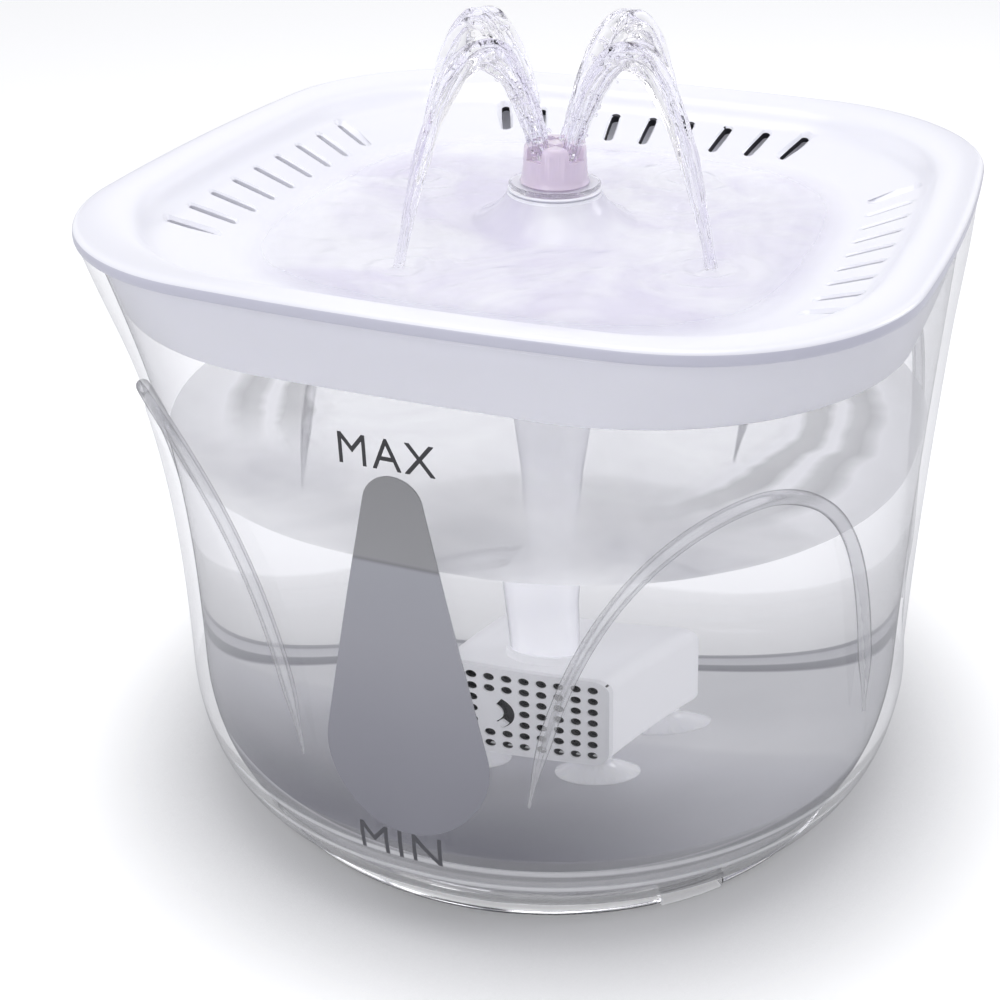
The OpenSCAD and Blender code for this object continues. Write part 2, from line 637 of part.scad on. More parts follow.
module filter_pad() {
    pad_half = filter_half - filter_wall - 0.4;
    color([0.35, 0.36, 0.38])
    translate([0, 0, pad_z]) linear_extrude(filter_h) difference() {
        round_rect(2 * pad_half, 2 * pad_half, frame_corner - filter_wall - 0.4);
        circle(filter_hole_r + filter_wall + 0.4);
    }
}

// ---- pump ----------------------------------------------------------------

front_y = -pump_outlet_y;                // face of the grille
body_y = front_y + grille_t + seat;      // front edge of the housing
back_y = front_y + pump_l;
axis_z = pump_z + pump_h / 2;            // height of the impeller's axis
housing_corner = 4;
volute_t = 1.6;                          // thickness of the volute's cover
chamber_y = body_y + intake_depth;       // front of the impeller's chamber
blade_l = 5;
chamber_r = impeller_r + 0.9;
chamber_back = chamber_y + volute_t + blade_l + 1.2;
well_r = magnet_r + 0.7;
well_wall = 1.2;
well_back = chamber_back + magnet_l + 3.2;
cover_t = 1.6;                           // thickness of the back cover
rear_wall_y = back_y - cover_t;
motor_y = chamber_back + pump_wall;      // front of the motor's bay

// Outline of the housing seen from the front
module housing_outline(inset = 0) {
    translate([0, axis_z]) round_rect(pump_w - 2 * inset, pump_h - 2 * inset, housing_corner - inset);
}

module pump_housing() {
    bay_wall = pump_wall;
    color([0.83, 0.83, 0.86])
    difference() {
        union() {
            along_y(body_y, rear_wall_y) housing_outline();
            translate([0, 0, pump_top - 1]) cylinder(r = riser_foot_r + 0.8, h = outlet_flange_h + 1);
            translate([0, 0, pump_top]) cylinder(r = outlet_r, h = outlet_h);
        }
        // intake bay behind the grille
        along_y(body_y - 1, chamber_y) housing_outline(bay_wall);
        // impeller chamber with a seat for the volute's cover
        translate([0, 0, axis_z]) rod_y(chamber_r + 1.4, chamber_y - 1, chamber_y + volute_t);
        translate([0, 0, axis_z]) rod_y(chamber_r, chamber_y - 1, chamber_back);
        // way up to the outlet, tangent to the chamber
        translate([0, 0, axis_z]) cylinder(r = outlet_r - 1.9, h = pump_h);
        // rotor well, open to the chamber
        translate([0, 0, axis_z]) rod_y(well_r, chamber_back - 1, well_back);
        // groove for the riser's seal
        translate([0, 0, seal_z]) rotate_extrude()
            translate([outlet_r - seal_depth, 0]) square([seal_depth + 1, seal_h]);
        // sockets for the studs of the suction cups
        for (x = [-1, 1], y = [front_y + cup_inset + 1, back_y - cup_inset - 1])
            translate([x * (pump_w / 2 - cup_inset), y, pump_z - 1])
                cylinder(r = stud_r + 0.05, h = stud_h + 1.1);
        // motor bay round the well
        difference() {
            along_y(motor_y, rear_wall_y + 1) housing_outline(bay_wall);
            translate([0, 0, axis_z]) rod_y(well_r + well_wall, motor_y - 1, well_back + well_wall);
        }
    }
}

// Grille: holes in a grid, left out where the flow lever's slot is
lever_x = -7.4;                          // pivot of the flow lever
lever_z = axis_z - 0.5;
lever_slot_r = 4.2;                      // middle radius of the lever's slot
lever_slot_w = 2.4;
lever_sweep = 120;                       // angle that the slot takes up
grille_columns = 9;
grille_rows = 7;
grille_clear = 5;                        // radius without holes about the slot's middle
function hole_at(i, j) = [(i - (grille_columns - 1) / 2) * grille_pitch_x,
                          axis_z + (j - (grille_rows - 1) / 2) * grille_pitch_z];
function hole_kept(p) = norm([p[0] - lever_x - lever_slot_r / 2, p[1] - lever_z]) > grille_clear;

module arc_slot(r, w, angle) {
    rotate([0, 0, -angle / 2]) rotate_extrude(angle = angle) translate([r - w / 2, 0]) square([w, 20]);
}

module pump_grille() {
    rim = 1;
    color([0.85, 0.85, 0.88])
    difference() {
        union() {
            along_y(front_y, front_y + grille_t) housing_outline();
            along_y(front_y, body_y + 2.4) housing_outline(pump_wall + 0.25);
        }
        along_y(front_y + grille_t, body_y + 3) housing_outline(pump_wall + 0.25 + rim);
        for (i = [0 : grille_columns - 1], j = [0 : grille_rows - 1])
            let (p = hole_at(i, j))
            if (hole_kept(p)) translate([p[0], 0, p[1]])
                rod_y(grille_hole_r, front_y - 1, front_y + grille_t + 1);
        translate([lever_x, front_y + 10, lever_z]) rotate([90, 0, 0])
            arc_slot(lever_slot_r, lever_slot_w, lever_sweep);
        translate([lever_x, 0, lever_z]) rod_y(1.3, front_y + grille_t - 0.9, front_y + grille_t + 1);
    }
}

lever_rest = -lever_sweep / 2 + 16;      // the lever rests near the lower end
lever_y = front_y + grille_t + 0.3;      // front face of the lever's shutter
module flow_lever() {
    color([0.8, 0.8, 0.84])
    translate([lever_x, 0, lever_z]) {
        rod_y(1, front_y + grille_t - 0.6, lever_y + 0.8);
        difference() {
            rod_y(lever_slot_r + 1.7, lever_y, lever_y + 1);
            translate([-10, lever_y - 1, -10]) rotate([0, 25, 0]) cube([12, 3, 12], center = true);
        }
        rotate([0, -lever_rest, 0]) translate([lever_slot_r - 0.9, front_y - 0.8, -0.8])
            cube([1.8, grille_t + 1.4, 1.6]);
    }
}

sponge_gap = 0.4;
module prefilter_sponge() {
    inset = pump_wall + 0.25 + 1 + 0.4;
    color([0.3, 0.3, 0.33])
    along_y(lever_y + 1 + sponge_gap, chamber_y - 1) housing_outline(inset);
}

// ---- pump drive ----------------------------------------------------------

hub_r = 3.2;                             // radius of the impeller's hub
eye_r = 5;
bush_r = 2.6;
rotor_y = chamber_y + volute_t + 0.6;    // front of the impeller
magnet_y = chamber_back + 0.9;
shaft_front = chamber_y + 0.3;
shaft_back = well_back - 0.3;

module volute_cover() {
    color([0.8, 0.8, 0.83])
    translate([0, 0, axis_z]) difference() {
        rod_y(chamber_r + 1.2, chamber_y, chamber_y + volute_t - 0.2);
        difference() {
            rod_y(eye_r, chamber_y - 1, chamber_y + volute_t + 1);
            rod_y(bush_r + 0.9, chamber_y - 2, chamber_y + volute_t + 2);
            for (k = [0 : 2]) rotate([0, 120 * k, 0])
                translate([-0.6, chamber_y - 2, 0]) cube([1.2, volute_t + 4, eye_r + 1]);
        }
        rod_y(bush_r, chamber_y - 1, chamber_y + volute_t + 1);
    }
}

module impeller() {
    color([0.93, 0.93, 0.95])
    translate([0, 0, axis_z]) difference() {
        union() {
            rod_y(hub_r, rotor_y, magnet_y);
            rod_y(impeller_r, rotor_y + blade_l - 0.8, rotor_y + blade_l);
            for (k = [0 : blade_count - 1]) rotate([0, k * 360 / blade_count, 0])
                translate([hub_r - 0.6, rotor_y, -0.5]) cube([impeller_r - hub_r + 0.4, blade_l - 0.4, 1]);
        }
        rod_y(shaft_r + shaft_gap, rotor_y - 1, magnet_y + 1);
    }
}

module rotor_magnet() {
    color([0.2, 0.2, 0.22])
    translate([0, 0, axis_z]) difference() {
        rod_y(magnet_r, magnet_y, magnet_y + magnet_l);
        rod_y(shaft_r + shaft_gap, magnet_y - 1, magnet_y + magnet_l + 1);
    }
}

module pump_shaft() {
    color([0.92, 0.9, 0.86])
    translate([0, 0, axis_z]) rod_y(shaft_r, shaft_front, shaft_back);
}

module front_bush() {
    color([0.2, 0.2, 0.2])
    translate([0, 0, axis_z]) difference() {
        rod_y(bush_r - 0.05, chamber_y - 0.6, chamber_y + volute_t - 0.2);
        rod_y(shaft_r + 0.02, shaft_front - 0.02, chamber_y + volute_t + 1);
    }
}
module rear_bush() {
    color([0.2, 0.2, 0.2])
    translate([0, 0, axis_z]) difference() {
        rod_y(well_r - 0.05, shaft_back - 1.8, well_back);
        rod_y(shaft_r + 0.02, shaft_back - 3, shaft_back + 0.02);
    }
}

// Stator: a U of laminations with its arms beside the well, coil on its yoke
core_gap = 0.3;
core_arm_x = well_r + well_wall + core_gap;
core_arm_w = 3.2;
core_h = 12;
yoke_t = 3;
winding_t = 2.2;
spool_t = 0.6;
core_y = motor_y + 0.5;
yoke_y = well_back + well_wall + winding_t + spool_t + 0.2;

module stator_core() {
    color([0.55, 0.55, 0.56])
    translate([0, 0, axis_z - core_h / 2]) {
        for (x = [-1, 1]) translate([x * (core_arm_x + core_arm_w / 2) - core_arm_w / 2, core_y, 0])
            cube([core_arm_w, yoke_y + yoke_t - core_y, core_h]);
        translate([-core_arm_x - eps, yoke_y, 0]) cube([2 * core_arm_x + 2 * eps, yoke_t, core_h]);
    }
}

// Tube round the yoke, grown outwards from it, with half length half_l
module yoke_sleeve(inner, outer, half_l) {
    translate([-half_l, yoke_y + yoke_t / 2, axis_z]) rotate([90, 0, 90]) linear_extrude(2 * half_l)
        difference() {
            square([yoke_t + 2 * outer, core_h + 2 * outer], center = true);
            square([yoke_t + 2 * inner, core_h + 2 * inner], center = true);
        }
}

spool_half = core_arm_x - 0.2;
module coil_bobbin() {
    color([0.9, 0.9, 0.88]) {
        yoke_sleeve(0.05, spool_t, spool_half);
        for (x = [-1, 1]) translate([x * (spool_half - 0.4), 0, 0])
            yoke_sleeve(0.05, spool_t + winding_t, 0.4);
    }
}

module motor_coil() {
    color([0.72, 0.42, 0.2])
    yoke_sleeve(spool_t + 0.02, spool_t + winding_t - 0.2, spool_half - 0.9);
}

gland_r = 3.2;
gland_z = pump_z + 8;
module pump_back() {
    lip = 2;
    color([0.8, 0.8, 0.83])
    difference() {
        union() {
            along_y(rear_wall_y, back_y) housing_outline();
            difference() {
                along_y(rear_wall_y - lip + 1, rear_wall_y + eps) housing_outline(pump_wall + 0.2);
                along_y(rear_wall_y - lip, rear_wall_y) housing_outline(pump_wall + 1.2);
            }
        }
        translate([0, 0, gland_z]) rod_y(gland_r, rear_wall_y - 1, back_y + 1);
    }
}

module cable_gland() {
    color([0.75, 0.75, 0.78])
    translate([0, 0, gland_z]) difference() {
        union() {
            rod_y(gland_r - 0.05, rear_wall_y, back_y + 0.5);
            rod_y(gland_r + 1.3, back_y, back_y + 1.6);
            translate([0, back_y + 1.6, 0]) rotate([-90, 0, 0])
                cylinder(r1 = gland_r, r2 = gland_r - 0.7, h = 5);
        }
        rod_y(1.6, rear_wall_y + 1, back_y + 8);
    }
}

// ---- suction cups --------------------------------------------------------

cup_inset = 4.4;
stud_r = 1.9;
stud_h = 1.1;
module cup_at(front, right) {
    x = (right ? 1 : -1) * (pump_w / 2 - cup_inset);
    y = front ? front_y + cup_inset + 1 : back_y - cup_inset - 1;
    color([0.9, 0.9, 0.92, 0.85])
    translate([x, y, mat_top]) rotate_extrude()
        polygon([[0, 0.9], [cup_r * 0.55, 0.7], [cup_r, 0], [cup_r, 0.4], [cup_r * 0.62, cup_h * 0.5],
                 [3, cup_h * 0.72], [2.7, cup_h], [stud_r, cup_h], [stud_r, cup_h + stud_h], [0, cup_h + stud_h]]);
}
module suction_cup_fl() cup_at(true, false);
module suction_cup_fr() cup_at(true, true);
module suction_cup_bl() cup_at(false, false);
module suction_cup_br() cup_at(false, true);

// ---- what is drawn -------------------------------------------------------

tank();
foot_ring();
foot_pads();
floor_mat();
level_window();
tray();
hub_sleeve();
nozzle();
nozzle_collar();
water_streams();
filter_frame();
filter_pad();
riser_tube();
riser_seal();
pump_housing();
pump_grille();
flow_lever();
prefilter_sponge();
volute_cover();
impeller();
rotor_magnet();
pump_shaft();
front_bush();
rear_bush();
stator_core();
coil_bobbin();
motor_coil();
pump_back();
cable_gland();
suction_cup_fl();
suction_cup_fr();
suction_cup_bl();
suction_cup_br();
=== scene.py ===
import json
import math
import random

import bmesh
import bpy
from mathutils import Matrix, Quaternion, Vector, noise

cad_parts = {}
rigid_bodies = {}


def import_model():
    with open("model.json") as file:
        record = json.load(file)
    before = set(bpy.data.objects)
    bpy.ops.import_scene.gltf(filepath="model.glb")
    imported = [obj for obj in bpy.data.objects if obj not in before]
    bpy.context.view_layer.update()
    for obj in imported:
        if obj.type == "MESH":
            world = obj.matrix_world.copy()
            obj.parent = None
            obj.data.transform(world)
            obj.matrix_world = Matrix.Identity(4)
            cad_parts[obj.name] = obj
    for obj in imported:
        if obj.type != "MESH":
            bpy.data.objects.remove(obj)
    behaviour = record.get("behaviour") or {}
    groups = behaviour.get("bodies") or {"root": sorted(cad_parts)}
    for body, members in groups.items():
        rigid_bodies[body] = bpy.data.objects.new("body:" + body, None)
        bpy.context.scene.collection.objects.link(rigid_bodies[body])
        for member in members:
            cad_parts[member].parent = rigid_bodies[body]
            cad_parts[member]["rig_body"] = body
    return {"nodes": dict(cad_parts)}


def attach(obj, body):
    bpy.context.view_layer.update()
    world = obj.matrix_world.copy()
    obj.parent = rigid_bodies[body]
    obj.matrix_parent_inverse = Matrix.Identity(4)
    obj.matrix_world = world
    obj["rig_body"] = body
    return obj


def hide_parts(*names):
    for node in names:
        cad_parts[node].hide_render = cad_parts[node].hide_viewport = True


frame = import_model()

mm = 0.001
bpy.context.scene.view_settings.view_transform = "Standard"


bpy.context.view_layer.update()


# helpers for nodes
def fill(tree, node, inputs):
    # numbers and colours into a node's inputs, or links from other nodes
    for key, value in inputs.items():
        socket = node.inputs[key]
        if isinstance(value, bpy.types.NodeSocket):
            tree.links.new(value, socket)
        else:
            socket.default_value = (*value, 1) if socket.type == "RGBA" else value


def addNode(tree, kind, inputs=None, **settings):
    node = tree.nodes.new("ShaderNode" + kind)
    for label, value in settings.items():
        setattr(node, label, value)
    fill(tree, node, inputs or {})
    return node


def calc(tree, operation, *values, clamp=False):
    return addNode(tree, "Math", dict(enumerate(values)), operation=operation, use_clamp=clamp).outputs[0]


def spread(tree, value, low, high, first=0, last=1, smooth=False):
    # first to last while the value goes from low to high
    inputs = {"Value": value, "From Min": low, "From Max": high, "To Min": first, "To Max": last}
    kind = "SMOOTHSTEP" if smooth else "LINEAR"
    return addNode(tree, "MapRange", inputs, interpolation_type=kind).outputs["Result"]


def ramp(tree, value, stops):
    # colours by (position, colour) stops
    node = addNode(tree, "ValToRGB", {"Fac": value})
    elements = node.color_ramp.elements
    while len(elements) < len(stops):
        elements.new(0.5)
    for element, (position, colour) in zip(elements, stops):
        element.position = position
        element.color = (*colour, 1)
    return node.outputs["Color"]


def blendColours(tree, share, first, second, kind="MIX"):
    inputs = {"Factor": share, 6: first, 7: second}
    return addNode(tree, "Mix", inputs, data_type="RGBA", blend_type=kind).outputs[2]


def mixShaders(tree, share, first, second):
    return addNode(tree, "MixShader", {"Fac": share, 1: first, 2: second}).outputs[0]


def seeThrough(tree, colour):
    return addNode(tree, "BsdfTransparent", {"Color": colour}).outputs[0]


def facing(tree):
    return addNode(tree, "LayerWeight", {"Blend": 0.5}).outputs["Facing"]


def backfacing(tree):
    return addNode(tree, "NewGeometry").outputs["Backfacing"]


def objectPlace(tree):
    return addNode(tree, "TexCoord").outputs["Object"]


def placeParts(tree):
    return addNode(tree, "SeparateXYZ", {0: objectPlace(tree)}).outputs


def axisDistance(tree):
    # how far a point is from the upright axis
    level = addNode(tree, "VectorMath", {0: objectPlace(tree), 1: (1, 1, 0)}, operation="MULTIPLY")
    return addNode(tree, "VectorMath", {0: level.outputs[0]}, operation="LENGTH").outputs["Value"]


def bumpNormal(tree, height, strength, distance):
    inputs = {"Height": height, "Strength": strength, "Distance": distance}
    return addNode(tree, "Bump", inputs).outputs["Normal"]


def surface(tree, shader):
    fill(tree, tree.nodes["Material Output"], {"Surface": shader})


def newMaterial(name):
    material = bpy.data.materials.new(name)
    material.use_nodes = True
    return material, material.node_tree, material.node_tree.nodes["Principled BSDF"]


def addObject(name, bm):
    # a mesh from bm in an object of its own
    mesh = bpy.data.meshes.new(name)
    bm.to_mesh(mesh)
    bm.free()
    made = bpy.data.objects.new(name, mesh)
    bpy.context.scene.collection.objects.link(made)
    return made


# camera, floor and light
shot = {
    "azimuth": 19.8,           # degrees, to the right of the front
    "elevation": 27.08,
    "distance": 0.44294,
    "aim": (0, 0, 0.08094),
    "lens": 59.4,
    "shift": (-0.0523, -0.0326),
    "roll": 0.52,              # degrees, the right side hangs a little
}


def addCamera():
    azimuth, elevation = math.radians(shot["azimuth"]), math.radians(shot["elevation"])
    toCamera = Vector((math.sin(azimuth) * math.cos(elevation), -math.cos(azimuth) * math.cos(elevation),
                       math.sin(elevation)))
    data = bpy.data.cameras.new("camera")
    data.lens = shot["lens"]
    data.sensor_width = 36
    data.shift_x, data.shift_y = shot["shift"]
    data.clip_start = 0.01
    camera = bpy.data.objects.new("camera", data)
    camera.location = Vector(shot["aim"]) + toCamera * shot["distance"]
    level = toCamera.to_track_quat("Z", "Y")
    camera.rotation_euler = (level @ Quaternion((0, 0, 1), math.radians(shot["roll"]))).to_euler()
    bpy.context.scene.collection.objects.link(camera)
    bpy.context.scene.camera = camera


studio = {
    "worldLight": 0.56,        # level of the even light all round
    "backdrop": 1.0,
    "floorColour": (0.86, 0.86, 0.87),
    "floorGlow": 0.36,
    "floorGlowThroughGlass": 0.30,
    "floorSize": 8.0,
    "contactReach": 0.052,     # painted contact shadow: the floor is darker this near to what stands on it
    "contactShadowColour": (0.48, 0.48, 0.49),
    "contactShadow": (0.45, 0.97),   # openness at its darkest and where it ends
    "panels": {"Scale": 0.62, "Distortion": 1.2, "Detail": 0.0, "Phase Offset": 1.1},
    # name: place, aim, size, power, colour
    "lamps": {
        "overhead": ((-0.05, -0.10, 1.00), (0, 0, 0.10), 0.75, 4.0, (1.0, 1.0, 1.0)),
        "front": ((-0.25, -1.05, 0.70), (0, 0, 0.08), 0.50, 2.2, (0.98, 0.98, 1.0)),
        "rightBack": ((0.70, 0.60, 0.60), (0, 0, 0.12), 0.40, 1.8, (0.98, 0.98, 1.0)),
    },
}


def addLamp(name, place, aim, size, power, colour):
    data = bpy.data.lights.new(name, "AREA")
    data.shape = "DISK"
    data.size = size
    data.energy = power
    data.color = colour
    lamp = bpy.data.objects.new(name, data)
    lamp.location = place
    lamp.rotation_euler = (Vector(place) - Vector(aim)).to_track_quat("Z", "Y").to_euler()
    bpy.context.scene.collection.objects.link(lamp)


def addWorld():
    world = bpy.data.worlds.new("studio")
    bpy.context.scene.world = world
    world.use_nodes = True
    tree = world.node_tree
    tree.nodes.clear()

    def light(colour, strength):
        return addNode(tree, "Background", {"Color": colour, "Strength": strength}).outputs[0]

    path = addNode(tree, "LightPath").outputs
    # what gloss and glass see: white with soft grey panels, as round a light tent
    direction = addNode(tree, "TexCoord").outputs["Generated"]
    bands = addNode(tree, "TexWave", {"Vector": direction, **studio["panels"]}, bands_direction="X")
    panels = ramp(tree, bands.outputs["Fac"], [(0.10, (0.42, 0.42, 0.46)), (0.55, (1.0, 1.0, 1.0))])
    inGlass = calc(tree, "MAXIMUM", path["Is Glossy Ray"], path["Is Transmission Ray"])
    around = mixShaders(tree, inGlass, light((0.96, 0.97, 1.0), studio["worldLight"]),
                        light(panels, studio["backdrop"]))
    inView = mixShaders(tree, path["Is Camera Ray"], around, light((1, 1, 1), studio["backdrop"]))
    addNode(tree, "OutputWorld", {"Surface": inView})


def floorPaint():
    material, tree, paint = newMaterial("floorPaint")
    near = addNode(tree, "AmbientOcclusion", {"Distance": studio["contactReach"]}, samples=12)
    path = addNode(tree, "LightPath").outputs
    inGlass = path["Is Transmission Ray"]
    # through the clear parts the floor stays plain
    behind = calc(tree, "ADD", path["Transparent Depth"], inGlass)
    # painted contact shadow: occlusion near what stands on the floor darkens both its colour and its glow
    darkest, plain = studio["contactShadow"]
    contactShadow = ramp(tree, calc(tree, "MAXIMUM", near.outputs["AO"], behind),
                   [(darkest, studio["contactShadowColour"]), (plain, (1, 1, 1))])
    colour = blendColours(tree, 1, contactShadow, studio["floorColour"], "MULTIPLY")
    fill(tree, paint, {"Base Color": colour, "Roughness": 0.7, "Specular IOR Level": 0.2})
    direct = calc(tree, "MULTIPLY", path["Is Camera Ray"], studio["floorGlow"])
    strength = calc(tree, "MULTIPLY_ADD", inGlass, studio["floorGlowThroughGlass"], direct)
    glow = addNode(tree, "Emission", {"Color": contactShadow, "Strength": strength})
    surface(tree, addNode(tree, "AddShader", {0: paint.outputs[0], 1: glow.outputs[0]}).outputs[0])
    return material


def addFloor():
    bm = bmesh.new()
    bmesh.ops.create_grid(bm, x_segments=1, y_segments=1, size=studio["floorSize"] / 2)
    floor = addObject("floor", bm)
    floor.data.materials.append(floorPaint())


addCamera()
addWorld()
addFloor()
for lampName, lampSetup in studio["lamps"].items():
    addLamp(lampName, *lampSetup)
print("studio: camera, floor and lamps set")


# shader groups shared by the finishes
def newGroup(name, inputs, outputs):
    group = bpy.data.node_groups.new(name, "ShaderNodeTree")
    for label, kind, value in inputs:
        socket = group.interface.new_socket(label, in_out="INPUT", socket_type="NodeSocket" + kind)
        socket.default_value = value
    for label, kind in outputs:
        group.interface.new_socket(label, in_out="OUTPUT", socket_type="NodeSocket" + kind)
    return group, group.nodes.new("NodeGroupInput").outputs, group.nodes.new("NodeGroupOutput")


def mouldedPlastic():
    # faint flow marks in the colour, a fine satin grain and uneven gloss
    group, into, out = newGroup(
        "mouldedPlastic",
        [("Color", "Color", (0.8, 0.8, 0.8, 1)), ("Shade", "Color", (0.7, 0.7, 0.75, 1)),
         ("Flow Scale", "Float", 18), ("Flow", "Float", 0.25), ("Grain Scale", "Float", 900),
         ("Grain Depth", "Float", 0.05), ("Roughness", "Float", 0.35), ("Gloss Spread", "Float", 0.06)],
        [("Color", "Color"), ("Roughness", "Float"), ("Normal", "Vector")])
    place = objectPlace(group)
    marks = {"Vector": place, "Scale": into["Flow Scale"], "Detail": 3, "Distortion": 0.6}
    flow = addNode(group, "TexNoise", marks).outputs["Fac"]
    share = calc(group, "MULTIPLY", flow, into["Flow"])
    grain = addNode(group, "TexNoise", {"Vector": place, "Scale": into["Grain Scale"], "Detail": 2})
    fill(group, out, {
        "Color": blendColours(group, share, into["Color"], into["Shade"]),
        "Roughness": calc(group, "MULTIPLY_ADD", flow, into["Gloss Spread"], into["Roughness"]),
        "Normal": bumpNormal(group, grain.outputs["Fac"], into["Grain Depth"], 0.0002)})
    return group


def waterRipple():
    # small waves for the surface of water
    group, into, out = newGroup(
        "waterRipple",
        [("Scale", "Float", 60), ("Stretch", "Float", 1), ("Depth", "Float", 0.3)],
        [("Wave", "Float"), ("Normal", "Vector")])
    waves = {"Vector": objectPlace(group), "Scale": into["Scale"], "Detail": 3, "Distortion": 1.6}
    tall = calc(group, "MULTIPLY", addNode(group, "TexNoise", waves).outputs["Fac"], into["Stretch"])
    fill(group, out, {"Wave": tall, "Normal": bumpNormal(group, tall, into["Depth"], 0.002)})
    return group


plasticGroup = mouldedPlastic()
rippleGroup = waterRipple()


def placeGroup(tree, group, **values):
    inputs = {label.replace("_", " "): value for label, value in values.items()}
    return addNode(tree, "Group", inputs, node_tree=group).outputs


def moulded(tree, skin, **values):
    # the moulded plastic group on a shader
    made = placeGroup(tree, plasticGroup, **values)
    fill(tree, skin, {"Base Color": made["Color"], "Roughness": made["Roughness"], "Normal": made["Normal"]})
    return made["Color"]


def plasticFinish(name, colour, shade, roughness=0.35, flow=0.25, grain=0.05, grainScale=900, flowScale=18,
                  glossSpread=0.06, coat=0.0, glow=0.0, milky=0.0, clear=None):
    material, tree, skin = newMaterial(name)
    made = moulded(tree, skin, Color=colour, Shade=shade, Flow=flow, Flow_Scale=flowScale,
                   Roughness=roughness, Grain_Scale=grainScale, Grain_Depth=grain, Gloss_Spread=glossSpread)
    # the glow is light that milk-white stuff passes on from behind, and the emission is painted light that
    # stands in for it
    fill(tree, skin, {"Coat Weight": coat, "Coat Roughness": 0.12, "Subsurface Weight": glow,
                      "Subsurface Radius": (0.004, 0.004, 0.005), "Emission Color": made,
                      "Emission Strength": milky})
    if clear:
        passed, ior = clear
        fill(tree, skin, {"Transmission Weight": passed, "IOR": ior})
    return material


def letLightThrough(tree, shader, tint):
    # lamplight and diffuse light go straight through
    path = addNode(tree, "LightPath").outputs
    unseen = calc(tree, "MAXIMUM", path["Is Shadow Ray"], path["Is Diffuse Ray"])
    either = mixShaders(tree, unseen, shader, seeThrough(tree, (tint, tint, tint)))
    surface(tree, either)
    return either


def clearFinish(name, tint, ior, roughness=0.0, ripple=None, lampTint=0.97, leaving=None):
    # clear stuff that bends a ray; with a leaving tint only on its way in
    material, tree, skin = newMaterial(name)
    fill(tree, skin, {"Base Color": tint, "Transmission Weight": 1, "IOR": ior, "Roughness": roughness})
    if ripple:
        scale, depth = ripple
        fill(tree, skin, {"Normal": placeGroup(tree, rippleGroup, Scale=scale, Depth=depth)["Normal"]})
    passed = letLightThrough(tree, skin.outputs[0], lampTint)
    if leaving:
        surface(tree, mixShaders(tree, backfacing(tree), passed, seeThrough(tree, leaving)))
    return material


def heightRamp(tree, low, high, stops):
    # colours by height above the table, in millimetres
    return ramp(tree, spread(tree, placeParts(tree)["Z"], low * mm, high * mm), stops)


def greyStops(stops, blue):
    return [(position, (grey, grey, grey * blue)) for position, grey in stops]


print("shader groups ready")


# helpers for meshes
def finishPiece(bm, name, materials, body, smooth=40, inMillimetres=True):
    if inMillimetres:
        bmesh.ops.scale(bm, vec=(mm, mm, mm), verts=bm.verts)
    piece = addObject(name, bm)
    piece.data.shade_smooth()
    piece.data.set_sharp_from_angle(angle=math.radians(smooth))
    for material in materials:
        piece.data.materials.append(material)
    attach(piece, body)
    return piece


def spunProfile(profile, steps, closed=True):
    # a profile of (radius, height) points turned about the upright axis
    bm = bmesh.new()
    row = bm.verts.layers.int.new("row")
    chain = [bm.verts.new((radius, 0, height)) for radius, height in profile]
    for number, vert in enumerate(chain):
        vert[row] = number
    edges = [bm.edges.new(pair) for pair in zip(chain, chain[1:] + chain[:1] * closed)]
    bmesh.ops.spin(bm, geom=chain + edges, cent=(0, 0, 0), axis=(0, 0, 1), angle=2 * math.pi, steps=steps,
                   use_merge=True)
    bmesh.ops.remove_doubles(bm, verts=bm.verts, dist=1e-5)
    bmesh.ops.recalc_face_normals(bm, faces=bm.faces)
    return bm


def reshape(bm, reach):
    # moves each point to the radius that reach(row, angle, radius, height) gives
    row = bm.verts.layers.int["row"]
    for vert in bm.verts:
        radius = math.hypot(vert.co.x, vert.co.y)
        if radius > 1e-4:
            angle = math.atan2(vert.co.y, vert.co.x)
            wanted = reach(vert[row], angle, radius, vert.co.z)
            vert.co.x *= wanted / radius
            vert.co.y *= wanted / radius


def newCurve(name, kind="CURVE"):
    curve = bpy.data.curves.new(name, kind)
    if kind == "CURVE":
        curve.dimensions = "3D"
        curve.use_fill_caps = True
    holder = bpy.data.objects.new(name, curve)
    bpy.context.scene.collection.objects.link(holder)
    return curve, holder


def addPoints(curve, count):
    # a run of straight pieces with this many points
    spline = curve.splines.new("POLY")
    spline.points.add(count - 1)
    return spline


def evaluatedMesh(holder):
    bpy.context.view_layer.update()
    return bpy.data.meshes.new_from_object(holder.evaluated_get(bpy.context.evaluated_depsgraph_get()))


def takeMesh(holder, bm):
    # adds what a curve or text makes to bm, and clears the curve away
    made = evaluatedMesh(holder)
    bpy.data.objects.remove(holder)
    bm.from_mesh(made)
    bpy.data.meshes.remove(made)


def cutAway(piece, bm, smooth):
    # takes the solids in bm, in millimetres, out of a piece
    bmesh.ops.scale(bm, vec=(mm, mm, mm), verts=bm.verts)
    cutter = addObject("cutter", bm)
    cut = piece.modifiers.new("cut", "BOOLEAN")
    cut.operation = "DIFFERENCE"
    cut.solver = "EXACT"
    cut.object = cutter
    made = evaluatedMesh(piece)
    piece.modifiers.clear()
    old = piece.data
    piece.data = made
    made.name = piece.name
    bpy.data.meshes.remove(old)
    bpy.data.objects.remove(cutter)
    made.shade_smooth()
    made.set_sharp_from_angle(angle=math.radians(smooth))


def cleanCopy(node, name, material, bevel=0.0, smooth=35, segments=2):
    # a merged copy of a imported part, with its edges eased, that stands for it
    source = frame["nodes"][node]
    bm = bmesh.new()
    bm.from_mesh(source.data)
    bmesh.ops.remove_doubles(bm, verts=bm.verts, dist=2e-6)
    bmesh.ops.dissolve_limit(bm, angle_limit=math.radians(1), verts=bm.verts, edges=bm.edges)
    piece = finishPiece(bm, name, [material], source["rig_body"], smooth, inMillimetres=False)
    if bevel:
        easing = piece.modifiers.new("easing", "BEVEL")
        easing.width = bevel * mm
        easing.segments = segments
        easing.limit_method = "ANGLE"
        easing.angle_limit = math.radians(40)
    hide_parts(node)


